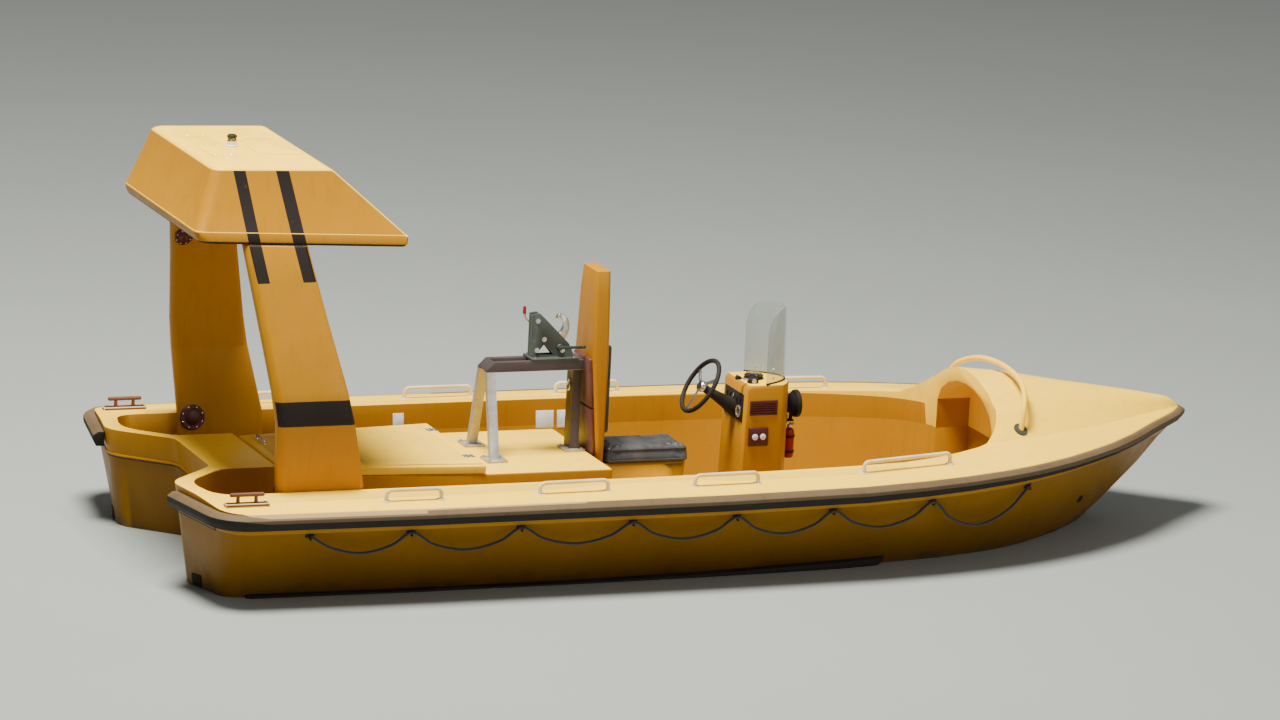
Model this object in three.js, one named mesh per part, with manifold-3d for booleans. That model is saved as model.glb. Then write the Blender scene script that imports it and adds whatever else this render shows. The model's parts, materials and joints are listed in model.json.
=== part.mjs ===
// Fast rescue lifeboat: moulded hull with twin stern pods, self-righting arch, single point
// lifting frame, jockey seat, steering console and a water jet in the stern notch.
// Frame: millimetres, X forward, Y to port, Z up, origin on the waterline amidships.

import * as THREE from 'three';
import { mergeVertices } from 'three/addons/utils/BufferGeometryUtils.js';
import Module from 'manifold-3d';

const wasm = await Module();
wasm.setup();

// Gap between pieces that touch.
const GAP = 0.4;

// Hull stations, from the stern to the bow. Columns: x, half beam of the deck edge, its height,
// half beam of the joint under the deck skirt, its height, half beam of the chine, its height,
// height of the keel.
const STATIONS = [
  [-3400, 1356, 572, 1342, 442, 1048, -48, -425],
  [-3000, 1378, 570, 1364, 440, 1071, -48, -430],
  [-2000, 1398, 570, 1382, 440, 1088, -50, -445],
  [-1000, 1390, 570, 1372, 440, 1078, -50, -455],
  [-100, 1378, 572, 1358, 442, 1050, -42, -460],
  [800, 1344, 578, 1318, 448, 997, -20, -460],
  [1200, 1296, 584, 1262, 454, 945, -14, -455],
  [1500, 1244, 590, 1202, 460, 898, -12, -448],
  [1800, 1164, 596, 1112, 466, 818, -4, -430],
  [2000, 1090, 600, 1030, 470, 748, 6, -410],
  [2150, 1022, 604, 956, 474, 684, 18, -385],
  [2300, 948, 608, 876, 478, 610, 34, -350],
  [2480, 838, 613, 760, 483, 508, 60, -270],
  [2680, 708, 620, 622, 490, 380, 112, -140],
  [2900, 528, 628, 438, 498, 234, 198, 50],
  [3150, 290, 640, 208, 510, 98, 345, 305],
  [3300, 165, 650, 92, 520, 32, 470, 455],
  [3370, 105, 656, 14, 526, 11, 523, 520],
];
// The deck's skirt runs on past the hull up the stem to this station.
const STEM_TIP = [3440, 20, 664, 15, 620];

// Deck crown. Columns: x, half width of the crowned middle, height of its foot, height on the
// centre line.
const CROWN = [
  [-3400, 980, 602, 606],
  [1200, 960, 612, 616],
  [1500, 860, 622, 626],
  [1800, 705, 642, 950],
  [2000, 680, 650, 938],
  [2300, 590, 654, 905],
  [2680, 430, 658, 838],
  [2900, 320, 660, 806],
  [3150, 170, 662, 768],
  [3370, 60, 666, 724],
  [3440, 8, 666, 672],
];
const CROWN_STEPS = 4;

// Stern: the pods reach aft of the transom, and the whole stern is raked.
const TRANSOM_X = -2980;
const STERN_RAKE = 0.16;
const SHEER_Z = 570;

// Cockpit.
const SOLE_Z = 85;
const SOLE_PLATE = 20;
const SOLE_TOP = SOLE_Z + SOLE_PLATE;
const BAY = { x0: -2400, x1: -1520, halfWidth: 300, floor: -120 };
const RECESS_X1 = 2220;

// Rubber. The fender has its full section up to taperX and tipSize of it at the stem.
const FENDER = { thick: 70, top: 4, bottom: 92, taperX: 900, tipSize: 0.63 };
const STRAKE = { height: 62, thick: 46, lift: 12, aftX: -2985, foreX: 1080 };

// Engine casing, hatch and lifting frame.
const CASING = { x0: -2596, x1: -508, aftHalf: 408, foreHalf: 528, top: 535, wall: 22, platformX: -1310 };
const HATCH = { x0: -2590, x1: -1316, aftHalf: 404, foreHalf: 532, z0: 540, z1: 602 };
const ENGINE = { x0: -2390, x1: -1530, halfWidth: 290, z0: -119, z1: 430 };
const LIFT = {
  x0: -1150, x1: -583, footY: 205, y: 60, top: 1107, tube: 56, rail: 44, beam: 60, post: 104, cut: 50,
};
const FOOT_PLATE = { x: 130, y: 150, thick: 12 };
const HOOK = { x: -740, baseThick: 14, cheekGap: 44, cheekThick: 12, hookThick: 26, pinZ: 1230, pinX: -800 };

// Seat.
const SEAT = { x0: -500, x1: 110, halfWidth: 150, top: 470, cushion: 120 };
// Seat back. Columns: height, x of the aft face, x of the fore face, half width.
const SEAT_BACK = [
  [SEAT.top + GAP, -472, -424, 150],
  [620, -484, -426, 163],
  [1140, -527, -424, 167],
  [1520, -522, -424, 142],
  [1662, -514, -424, 128],
];

// Console.
const CONSOLE = { halfWidth: 195, x0: 470, sideX: 719, middleX: 800, top: 935, edge: 30 };
const WHEEL = { x: 240, z: 900, radius: 175, rim: 15, tilt: THREE.MathUtils.degToRad(32) };
const SHIELD = {
  foot: CONSOLE.top + GAP, top: 1395, halfWidth: 190, edgeX: 600, footX: 784, topX: 768, thick: 8,
};

// Arch. Columns: height, x of the aft edge, x of the fore edge, outer half width, thickness.
const LEG_SECTIONS = [
  [107, -2780, -2240, 958, 84],
  [600, -2780, -2240, 1016, 90],
  [1020, -2815, -2335, 1078, 90],
  [1200, -2838, -2375, 1050, 90],
  [1600, -2893, -2470, 905, 90],
  [2053, -2958, -2562, 748, 86],
];
// The leg's aft outer corner is cut back this far along and across.
const LEG_CHAMFER = { x: 35, y: 25 };
const LIGHT_X = -2812;
const HOOD = { topHalf: 632, lean: 0.279, topZ: 2467, foreTopZ: 2450, cornerRadius: 90 };

// Jet.
const JET = { seatX: -2800, z: -130, radius: 128, neck: 52, nozzleX: -3040, nozzleLength: 130, outlet: 70 };
// Turning pins, their holes and the bucket's hinge aft of the steering axis.
const PIVOT = { pin: 9, hole: 10, bucketX: -70 };

const COLOURS = {
  gelcoat: { color: 0xe2a52c, roughness: 0.45, metalness: 0 },
  deck: { color: 0xf0cf86, roughness: 0.55, metalness: 0 },
  sole: { color: 0xc9a868, roughness: 0.8, metalness: 0 },
  fender: { color: 0x8a8178, roughness: 0.85, metalness: 0 },
  rubber: { color: 0x1b1a1a, roughness: 0.8, metalness: 0 },
  steel: { color: 0x9c9a98, roughness: 0.4, metalness: 0.9 },
  stainless: { color: 0xd2d4d6, roughness: 0.25, metalness: 1 },
  engine: { color: 0x6f7478, roughness: 0.6, metalness: 0.4 },
  darkMetal: { color: 0x39423f, roughness: 0.5, metalness: 0.7 },
  vinyl: { color: 0x24262a, roughness: 0.6, metalness: 0 },
  glass: { color: 0xa9bcc0, roughness: 0.05, metalness: 0 },
  maroon: { color: 0x4a1216, roughness: 0.5, metalness: 0 },
  red: { color: 0x9a1a18, roughness: 0.35, metalness: 0 },
  rope: { color: 0x141414, roughness: 0.9, metalness: 0 },
  lamp: { color: 0xe9ecee, roughness: 0.2, metalness: 0 },
  aluminium: { color: 0xa8adb0, roughness: 0.45, metalness: 0.9 },
};

const boat = new THREE.Group();

// Solids

function solid(geometry) {
  const bare = geometry.clone();
  bare.deleteAttribute('normal');
  bare.deleteAttribute('uv');
  const merged = mergeVertices(bare, 1e-3);
  return new wasm.Manifold(new wasm.Mesh({
    numProp: 3,
    vertProperties: new Float32Array(merged.attributes.position.array),
    triVerts: new Uint32Array(merged.index.array),
  }));
}

function meshGeometry(body) {
  const mesh = body.getMesh();
  const geometry = new THREE.BufferGeometry();
  geometry.setAttribute('position', new THREE.Float32BufferAttribute(mesh.vertProperties, 3));
  geometry.setIndex(Array.from(mesh.triVerts));
  geometry.computeVertexNormals();
  return geometry;
}

function join(bodies) {
  return bodies.reduce((sum, body) => sum.add(body));
}

function addPiece(name, shape, look, parent = boat) {
  const geometry = shape.isBufferGeometry ? shape : meshGeometry(shape);
  const mesh = new THREE.Mesh(geometry, new THREE.MeshStandardMaterial(COLOURS[look]));
  mesh.name = name;
  parent.add(mesh);
  return mesh;
}

function box(x0, x1, y0, y1, z0, z1) {
  const geometry = new THREE.BoxGeometry(x1 - x0, y1 - y0, z1 - z0);
  return geometry.translate((x0 + x1) / 2, (y0 + y1) / 2, (z0 + z1) / 2);
}

function shapeOf(points) {
  return new THREE.Shape(points.map(([u, v]) => new THREE.Vector2(u, v)));
}

// An outline in X and Y raised from z0 to z1.
function prismUp(shape, z0, z1) {
  return new THREE.ExtrudeGeometry(shape, { depth: z1 - z0, bevelEnabled: false }).translate(0, 0, z0);
}

// A profile in X and Z run across the boat from y0 to y1.
function prismAcross(shape, y0, y1, bevel = 0) {
  const geometry = new THREE.ExtrudeGeometry(shape, {
    depth: y1 - y0 - 2 * bevel,
    bevelEnabled: bevel > 0,
    bevelThickness: bevel,
    bevelSize: bevel,
    bevelOffset: -bevel,
    bevelSegments: 2,
    curveSegments: 6,
  });
  return geometry.rotateX(Math.PI / 2).translate(0, y1 - bevel, 0);
}

// A section in Y and Z run along the boat from x0 to x1.
function prismAlong(shape, x0, x1) {
  const geometry = new THREE.ExtrudeGeometry(shape, { depth: x1 - x0, bevelEnabled: false, curveSegments: 6 });
  const turn = new THREE.Matrix4().makeBasis(
    new THREE.Vector3(0, 1, 0),
    new THREE.Vector3(0, 0, 1),
    new THREE.Vector3(1, 0, 0),
  );
  return geometry.applyMatrix4(turn).translate(x0, 0, 0);
}

function rod(path, radius, steps, sides = 8) {
  const circle = new THREE.Shape();
  for (let i = 0; i < sides; i += 1) {
    const angle = (2 * Math.PI * (i + 0.5)) / sides;
    const point = [radius * Math.cos(angle), radius * Math.sin(angle)];
    if (i === 0) circle.moveTo(...point);
    else circle.lineTo(...point);
  }
  return new THREE.ExtrudeGeometry(circle, { steps, extrudePath: path, bevelEnabled: false });
}

// A tube's centre line with straight runs and rounded corners.
function bentPath(points, corner) {
  const path = new THREE.CurvePath();
  const at = points.map((p) => new THREE.Vector3(...p));
  let start = at[0];
  for (let i = 1; i < at.length - 1; i += 1) {
    const before = at[i].clone().add(at[i - 1].clone().sub(at[i]).setLength(corner));
    const after = at[i].clone().add(at[i + 1].clone().sub(at[i]).setLength(corner));
    path.add(new THREE.LineCurve3(start, before));
    path.add(new THREE.QuadraticBezierCurve3(before, at[i], after));
    start = after;
  }
  path.add(new THREE.LineCurve3(start, at[at.length - 1]));
  return path;
}

// Closed skin over rings of equal length, with a cap on the first and the last. The caps are
// cut into triangles in the plane of the two named axes.
function loft(rings, axisU, axisV) {
  const count = rings[0].length;
  const flat = rings.flat();
  const positions = flat.flatMap((p) => [p.x, p.y, p.z]);
  const index = [];
  for (let i = 0; i < rings.length - 1; i += 1) {
    for (let j = 0; j < count; j += 1) {
      const a = i * count + j;
      const b = i * count + ((j + 1) % count);
      index.push(a, b, b + count, a, b + count, a + count);
    }
  }
  for (const [ring, offset, side] of [[rings[0], 0, -1], [rings.at(-1), (rings.length - 1) * count, 1]]) {
    const outline = ring.map((p) => new THREE.Vector2(p[axisU], p[axisV]));
    const winding = THREE.ShapeUtils.isClockWise(outline) ? -1 : 1;
    for (const [p, q, r] of THREE.ShapeUtils.triangulateShape(outline, [])) {
      const turn = THREE.ShapeUtils.isClockWise([outline[p], outline[q], outline[r]]) ? -1 : 1;
      if (turn * winding * side > 0) index.push(offset + p, offset + q, offset + r);
      else index.push(offset + p, offset + r, offset + q);
    }
  }
  let volume = 0;
  for (let i = 0; i < index.length; i += 3) {
    const [p, q, r] = [flat[index[i]], flat[index[i + 1]], flat[index[i + 2]]];
    volume += p.clone().cross(q).dot(r);
  }
  if (volume < 0) index.reverse();
  const geometry = new THREE.BufferGeometry();
  geometry.setAttribute('position', new THREE.Float32BufferAttribute(positions, 3));
  geometry.setIndex(index);
  return geometry;
}

function mirrored(halfPoints) {
  const other = halfPoints.filter(([y]) => y > 0.01).map(([y, z]) => [-y, z]).reverse();
  return [...halfPoints, ...other];
}

// Value of one column of a table at x, straight between its rows.
function between(table, x, column) {
  const next = Math.max(1, Math.min(table.length - 1, table.findIndex((row) => row[0] >= x)));
  const [before, after] = [table[next - 1], table[next]];
  return THREE.MathUtils.mapLinear(x, before[0], after[0], before[column], after[column]);
}

// Hull and deck

// Half outline of the stern at deck height, from the centre line round the pod to the side.
function sternOutline() {
  const path = new THREE.Path();
  path.moveTo(TRANSOM_X, 0);
  path.lineTo(TRANSOM_X, 300);
  path.quadraticCurveTo(TRANSOM_X, 348, -3012, 378);
  path.lineTo(-3240, 592);
  path.quadraticCurveTo(-3313, 661, -3304, 740);
  path.lineTo(-3222, 1215);
  path.quadraticCurveTo(-3203, 1345, -3080, between(STATIONS, -3080, 1) + 0.3);
  return path.getPoints(5);
}

// Everything aft of the raked stern. Lower down the pods' outer corners come in with the hull's side.
function sternCut() {
  const inner = 740;
  const cornerX = -3080;
  const levels = [[-700, 5], [-48, 5], [441, 3], [SHEER_Z, 1], [700, 1]];
  const width = (x, column) => between(STATIONS, x, column) - inner;
  const rings = levels.map(([z, column]) => {
    const shift = STERN_RAKE * (SHEER_Z - z);
    const narrow = width(cornerX + shift, column) / width(cornerX, 1);
    const port = sternOutline().map(({ x, y }) => [x + shift, y > inner ? inner + narrow * (y - inner) : y]);
    const half = [...port, [cornerX + shift, 1600], [-3900, 1600]];
    const outline = [...half, ...half.filter(([, y]) => y > 0.01).map(([x, y]) => [x, -y]).reverse()];
    return outline.map(([x, y]) => new THREE.Vector3(x, y, z));
  });
  return solid(loft(rings, 'x', 'y'));
}

// Half outline of the cockpit and the two stern wells at gunwale height.
function wellOutline() {
  const path = new THREE.Path();
  path.moveTo(2000, 0);
  path.lineTo(2000, 480);
  path.quadraticCurveTo(1960, 640, 1780, 750);
  path.quadraticCurveTo(1500, 890, 1200, 950);
  path.quadraticCurveTo(600, 1015, -600, 1022);
  path.lineTo(-3000, 1022);
  path.quadraticCurveTo(-3160, 1022, -3180, 900);
  path.lineTo(-3200, 800);
  path.quadraticCurveTo(-3216, 690, -3140, 604);
  path.lineTo(-2990, 462);
  path.quadraticCurveTo(-2960, 430, -2900, 430);
  path.lineTo(-2602, 430);
  path.lineTo(-2602, 0);
  return path.getPoints(4).map((p) => [p.x, p.y]);
}

// The same outline at another height: the sides lean in with the flare and the ends with the rake.
function wellRing(z) {
  const depth = (600 - Math.min(z, 600)) / (600 - SOLE_Z);
  const lean = ([x, y]) => {
    const side = THREE.MathUtils.clamp((y - 430) / 590, 0, 1);
    const inset = 55 + 50 * THREE.MathUtils.clamp(x / 1200, 0, 1);
    const aft = THREE.MathUtils.clamp((-2900 - x) / 250, 0, 1);
    return [x + 95 * aft * depth, y - inset * side * depth];
  };
  const half = wellOutline().map(lean);
  const starboard = half.filter(([, y]) => y > 0.01).map(([x, y]) => [x, -y]).reverse();
  return [...half, ...starboard].map(([x, y]) => new THREE.Vector3(x, y, z));
}

function wellCut() {
  return solid(loft([wellRing(SOLE_Z), wellRing(600), wellRing(1400)], 'x', 'y'));
}

// The arched recess under the foredeck.
function recessCut() {
  const half = [[0, 850], [140, 838], [270, 802], [380, 736], [430, 655], [430, SOLE_Z]];
  return solid(prismAlong(shapeOf(mirrored(half)), 1900, RECESS_X1));
}

function hullBody() {
  const rings = STATIONS.map(([x, , , lip, lipZ, chine, chineZ, keel]) => {
    const flat = Math.min(55, 0.25 * chine);
    const half = [
      [0, keel],
      [0.52 * chine, keel + 0.46 * (chineZ - keel)],
      [chine - flat, chineZ - 0.5 * flat * Math.min(1, (chineZ - keel) / 120)],
      [chine, chineZ],
      [lip, lipZ - GAP],
    ];
    return mirrored(half).map(([y, z]) => new THREE.Vector3(x, y, z));
  });
  return solid(loft(rings, 'y', 'z'));
}

function hull() {
  const bay = solid(box(BAY.x0, BAY.x1, -BAY.halfWidth, BAY.halfWidth, BAY.floor, SOLE_Z + 10));
  const intake = solid(box(-2450, -1950, -120, 120, -600, -270));
  const jetSeat = solid(new THREE.CylinderGeometry(150, 150, 300, 24)
    .rotateZ(Math.PI / 2)
    .translate(JET.seatX - 150, 0, JET.z));
  return hullBody()
    .subtract(sternCut())
    .subtract(wellCut())
    .subtract(recessCut())
    .subtract(bay)
    .subtract(intake)
    .subtract(jetSeat);
}

function deckMoulding() {
  const rings = [...STATIONS, STEM_TIP].map(([x, edge, edgeZ, lip, lipZ]) => {
    const [width, foot, middle] = [1, 2, 3].map((column) => between(CROWN, x, column));
    const half = [[0, lipZ], [lip, lipZ], [edge, edgeZ - 7], [edge - 0.5 * Math.min(18, edge), edgeZ]];
    for (let i = 0; i <= CROWN_STEPS; i += 1) {
      const t = 1 - i / CROWN_STEPS;
      half.push([t * width, foot + (middle - foot) * (1 - t * t)]);
    }
    return mirrored(half).map(([y, z]) => new THREE.Vector3(x, y, z));
  });
  return solid(loft(rings, 'y', 'z')).subtract(sternCut()).subtract(wellCut()).subtract(recessCut());
}

function cockpitSole() {
  const inset = 4;
  const outline = wellRing(SOLE_Z).map((p) => [p.x, p.y]);
  const plate = solid(prismUp(shapeOf(outline), SOLE_Z + GAP, SOLE_TOP));
  const walls = solid(loft([SOLE_Z - 1, SOLE_TOP + 1].map((z) => wellRing(z).map((p) => {
    const inward = Math.abs(p.y) > 700 ? Math.sign(p.y) * inset : 0;
    const end = p.x > 1900 ? inset : p.x < -2850 ? -inset : 0;
    return new THREE.Vector3(p.x - end, p.y - inward, z);
  })), 'x', 'y'));
  const bay = solid(box(BAY.x0, BAY.x1, -BAY.halfWidth, BAY.halfWidth, 0, 200));
  return plate.intersect(walls).subtract(bay);
}

// Rubber

// Outline of the deck edge from the port pod's inner corner round the bow to the starboard one.
function deckEdge() {
  const pod = sternOutline().filter((p) => p.y > 735).map((p) => [p.x, p.y, SHEER_Z]);
  const side = STATIONS.filter(([x]) => x >= -3000).map(([x, edge, z]) => [x, edge, z]);
  const port = [...pod, ...side, [STEM_TIP[0], STEM_TIP[1], STEM_TIP[2]]];
  const starboard = port.map(([x, y, z]) => [x, -y, z]).reverse();
  return [...port, ...starboard].map((p) => new THREE.Vector3(...p));
}

// A section of offsets outward and up at each point, carried along a line of points.
function edging(line, sectionAt) {
  const rings = line.map((p, i) => {
    const from = line[Math.max(0, i - 1)];
    const to = line[Math.min(line.length - 1, i + 1)];
    const run = to.clone().sub(from).setZ(0).normalize();
    const out = new THREE.Vector3(-run.y, run.x, 0);
    return sectionAt(p, out).map(([u, v]) => p.clone().addScaledVector(out, u).add(new THREE.Vector3(0, 0, v)));
  });
  return loft(rings, 'y', 'z');
}

// The fender gets smaller towards the bow, where its inner face leans in with the skirt behind it.
function rubRail() {
  const { taperX, tipSize } = FENDER;
  const tipX = STEM_TIP[0];
  return edging(deckEdge(), ({ x }, out) => {
    const size = THREE.MathUtils.mapLinear(Math.max(x, taperX), taperX, tipX, 1, tipSize);
    const [edge, edgeZ, lip, lipZ] = [1, 2, 3, 4].map((column) => between(STATIONS, x, column));
    const slope = (0.9 * Math.abs(out.y) * (edge - lip)) / (edgeZ - lipZ);
    const lean = x < -3000 ? 0 : slope * THREE.MathUtils.clamp((tipX - x) / 600, 0, 1);
    const [thick, top, bottom] = [FENDER.thick, FENDER.top, FENDER.bottom].map((value) => value * size);
    return [
      [GAP, -top],
      [0.55 * thick, -top],
      [thick, -top - 22 * size],
      [thick, -bottom + 36 * size],
      [0.72 * thick, -bottom],
      [GAP - lean * (bottom - 12), -bottom],
      [GAP, -10],
    ];
  });
}

// The strake ends short of the pod's corner, and its fore end is cut back underneath.
function chineStrake(side, hullSolid) {
  const { height, thick, lift, aftX, foreX } = STRAKE;
  const ring = (x, back = 0, thin = 0) => {
    const [lip, lipZ, chine, chineZ] = [3, 4, 5, 6].map((column) => between(STATIONS, x, column));
    const lean = (lip - chine) / (lipZ - chineZ);
    const z0 = chineZ + lift;
    const z1 = z0 + height;
    const inner = chine + lean * lift - 12;
    const outer = chine + lean * (lift + 0.5 * height) + thick - thin;
    const section = [
      [x - back, inner, z0], [x - back, outer, z0 + 10], [x, outer, z1 - 14], [x, inner + lean * height, z1],
    ];
    return section.map(([px, y, z]) => new THREE.Vector3(px, side * y, z));
  };
  const stations = STATIONS.map(([x]) => x).filter((x) => x > aftX && x < 900);
  const full = [aftX + 30, ...stations, foreX - 50].map((x) => ring(x));
  const rings = [ring(aftX, 0, 14), ...full, ring(foreX, 30, 14)];
  return solid(loft(rings, 'y', 'z')).subtract(hullSolid).translate([0, side * GAP, 0]);
}

// Machinery under the hatch and in the stern notch

function taperedOutline(x0, x1, aftHalf, foreHalf) {
  return shapeOf([[x0, -aftHalf], [x1, -foreHalf], [x1, foreHalf], [x0, aftHalf]]);
}

function engineCasing() {
  const { x0, x1, aftHalf, foreHalf, top, wall, platformX } = CASING;
  const split = shapeOf([
    [x0, -aftHalf], [platformX, -foreHalf], [x1, -foreHalf],
    [x1, foreHalf], [platformX, foreHalf], [x0, aftHalf],
  ]);
  const opening = taperedOutline(x0 + wall, platformX - 20, aftHalf - wall, foreHalf - wall);
  return solid(prismUp(split, SOLE_TOP + GAP, top)).subtract(solid(prismUp(opening, 0, top + 50)));
}

function engineHatch() {
  const { x0, x1, aftHalf, foreHalf, z0, z1 } = HATCH;
  const lid = prismUp(taperedOutline(x0, x1, aftHalf, foreHalf), z0, z1 - 14);
  const crown = prismUp(taperedOutline(x0 + 16, x1 - 16, aftHalf - 18, foreHalf - 18), z1 - 14.5, z1);
  return solid(lid).add(solid(crown));
}

function jetHousing() {
  const profile = [
    [0, 0], [146, 0], [146, 18], [JET.radius, 24], [JET.radius, 120], [104, 176],
    [104, 186], [JET.neck, 190], [JET.neck, 232], [0, 232],
  ].map(([r, along]) => new THREE.Vector2(r, along));
  const barrel = new THREE.LatheGeometry(profile, 24).rotateZ(Math.PI / 2).translate(JET.seatX - GAP, 0, JET.z);
  const ear = (z0, z1) => box(JET.nozzleX - 28, JET.nozzleX + 100, -24, 24, z0, z1);
  const hole = new THREE.CylinderGeometry(PIVOT.hole, PIVOT.hole, 240, 16)
    .rotateX(Math.PI / 2)
    .translate(JET.nozzleX, 0, JET.z);
  const ears = join([ear(JET.z + 84, JET.z + 102), ear(JET.z - 102, JET.z - 84)].map(solid));
  return solid(barrel).add(ears.subtract(solid(hole)));
}

// The nozzle and bucket are laid out about the steering axis and placed there by their mesh.
function jetNozzle() {
  const { outlet, nozzleLength } = JET;
  const profile = [
    [outlet, -nozzleLength], [outlet + 10, -nozzleLength], [80, -10], [80, 12], [68, 12], [68, -10],
  ].map(([r, along]) => new THREE.Vector2(r, along));
  const ring = [...profile, profile[0]];
  const sleeve = new THREE.LatheGeometry(ring, 24).rotateZ(-Math.PI / 2);
  const parts = [sleeve];
  for (const s of [-1, 1]) {
    parts.push(new THREE.BoxGeometry(32, 32, 11).translate(0, 0, s * 77.5));
    parts.push(new THREE.CylinderGeometry(PIVOT.pin, PIVOT.pin, 26, 16).rotateX(Math.PI / 2).translate(0, 0, s * 92));
    parts.push(new THREE.BoxGeometry(32, 22, 32).translate(PIVOT.bucketX, s * 85, 0));
    parts.push(new THREE.CylinderGeometry(PIVOT.pin, PIVOT.pin, 24, 16).translate(PIVOT.bucketX, s * 106, 0));
  }
  return join(parts.map(solid));
}

function reverseBucket() {
  const cheek = shapeOf([[22, -18], [22, 20], [-60, 60], [-150, 70], [-165, 30], [-60, -18]]);
  const sides = [[102, 112], [-112, -102]].map(([y0, y1]) => prismAcross(cheek, y0, y1));
  const back = new THREE.ExtrudeGeometry(
    shapeOf([[-172, 20], [-150, 78], [-70, 70], [-70, 62], [-144, 68], [-164, 20]]),
    { depth: 224, bevelEnabled: false },
  ).rotateX(Math.PI / 2).translate(0, 112, 0);
  const hole = new THREE.CylinderGeometry(PIVOT.hole, PIVOT.hole, 300, 16);
  return join([...sides, back].map(solid)).subtract(solid(hole));
}

function intakeGrille() {
  const bars = [-2440, -1960].map((x) => box(x - 8, x + 8, -118, 118, -372, -352));
  for (let y = -110; y <= 110; y += 44) bars.push(box(-2440, -1960, y - 8, y + 8, -372, -352));
  return join(bars.map(solid));
}

// Lifting gear

// Two splayed legs aft and one post forward carry two rails and their cross members. The rails'
// aft ends are cut off at a slant.
function liftingFrame() {
  const { x0, x1, footY, y, top, tube, rail, beam, post } = LIFT;
  const foot = CASING.top + GAP;
  const half = tube / 2;
  const side = rail / 2;
  const plate = (x, middleY) => box(
    x - FOOT_PLATE.x / 2, x + FOOT_PLATE.x / 2, middleY - FOOT_PLATE.y / 2, middleY + FOOT_PLATE.y / 2,
    foot, foot + FOOT_PLATE.thick,
  );
  const parts = [box(x1 - half, x1 + half, -post / 2, post / 2, foot, top - 1), plate(x1, 0)];
  const below = top - beam + 8;
  const slant = [[x0 - half + LIFT.cut, top], [x0 - half, top - LIFT.cut]];
  for (const s of [-1, 1]) {
    const leg = [[footY - side, foot], [footY + side, foot], [y + side, below], [y - side, below]];
    parts.push(prismAlong(shapeOf(leg.map(([u, v]) => [s * u, v])), x0 - half, x0 + half));
    parts.push(plate(x0, s * footY));
    const railSide = shapeOf([[x0 - half, top - beam], [x1 + half, top - beam], [x1 + half, top], ...slant]);
    parts.push(prismAcross(railSide, s * y - side, s * y + side));
  }
  const aftMember = shapeOf([[x0 - half, below], [x0 + half, below], [x0 + half, top], ...slant]);
  parts.push(prismAcross(aftMember, -y, y));
  parts.push(box(HOOK.x - 110, HOOK.x + 110, -y, y, below, top));
  parts.push(box(x1 - half, x1 + half, -y, y, below, top));
  return join(parts.map(solid));
}

function hookBlock() {
  const z0 = LIFT.top + GAP;
  const z1 = z0 + HOOK.baseThick;
  const cheek = shapeOf([
    [-880, z1 - 1], [-880, 1385], [-835, 1392], [-790, 1350], [-640, 1200], [-600, z1 - 1],
  ]);
  cheek.holes.push(shapeOf([[-852, z1 + 12], [-738, z1 + 12], [-796, 1204]]));
  const inner = HOOK.cheekGap / 2;
  const outer = inner + HOOK.cheekThick;
  const parts = [
    box(HOOK.x - 150, HOOK.x + 150, -86, 86, z0, z1),
    prismAcross(cheek, inner, outer),
    prismAcross(cheek, -outer, -inner),
    new THREE.CylinderGeometry(9, 9, 2 * outer - 2, 12).translate(HOOK.pinX, 0, HOOK.pinZ),
    box(-878, -862, -inner - 2, inner + 2, z1 - 1, 1375),
  ];
  return join(parts.map(solid));
}

// The hook is laid out about its pin.
function liftingHook() {
  const outline = new THREE.Shape();
  outline.moveTo(-34, -30);
  outline.lineTo(60, -44);
  outline.lineTo(128, -20);
  outline.quadraticCurveTo(176, 30, 164, 96);
  outline.quadraticCurveTo(150, 150, 96, 150);
  outline.lineTo(78, 124);
  outline.quadraticCurveTo(126, 118, 126, 80);
  outline.quadraticCurveTo(120, 24, 70, 26);
  outline.quadraticCurveTo(34, 34, 18, 70);
  outline.lineTo(-20, 60);
  outline.lineTo(-34, 20);
  const half = HOOK.hookThick / 2;
  const body = solid(prismAcross(outline, -half, half, 3));
  return body.subtract(solid(new THREE.CylinderGeometry(10, 10, 80, 12)));
}

// Seat

function seatBack() {
  const corner = 14;
  return loft(SEAT_BACK.map(([z, aft, fore, half]) => {
    const quarter = [[fore - corner, half], [fore, half - corner]];
    const rest = [[aft, half - corner], [aft + corner, half]];
    const starboard = [...quarter].reverse().map(([x, y]) => [x, -y]);
    const port = [...rest].reverse().map(([x, y]) => [x, -y]);
    return [...quarter, ...starboard, ...port, ...rest].map(([x, y]) => new THREE.Vector3(x, y, z));
  }), 'x', 'y');
}

function softBlock(x0, x1, halfWidth, z0, z1) {
  const bevel = 18;
  const shape = shapeOf([
    [x0 + bevel, -halfWidth + bevel], [x1 - bevel, -halfWidth + bevel],
    [x1 - bevel, halfWidth - bevel], [x0 + bevel, halfWidth - bevel],
  ]);
  return new THREE.ExtrudeGeometry(shape, {
    depth: z1 - z0 - 2 * bevel,
    bevelThickness: bevel,
    bevelSize: bevel,
    bevelSegments: 2,
  }).translate(0, 0, z0 + bevel);
}

function seatBase() {
  const profile = shapeOf([
    [SEAT.x0, SOLE_TOP + GAP], [SEAT.x1 - 40, SOLE_TOP + GAP], [SEAT.x1, SEAT.top], [SEAT.x0, SEAT.top],
  ]);
  return prismAcross(profile, -SEAT.halfWidth, SEAT.halfWidth, 14);
}

// Console

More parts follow.
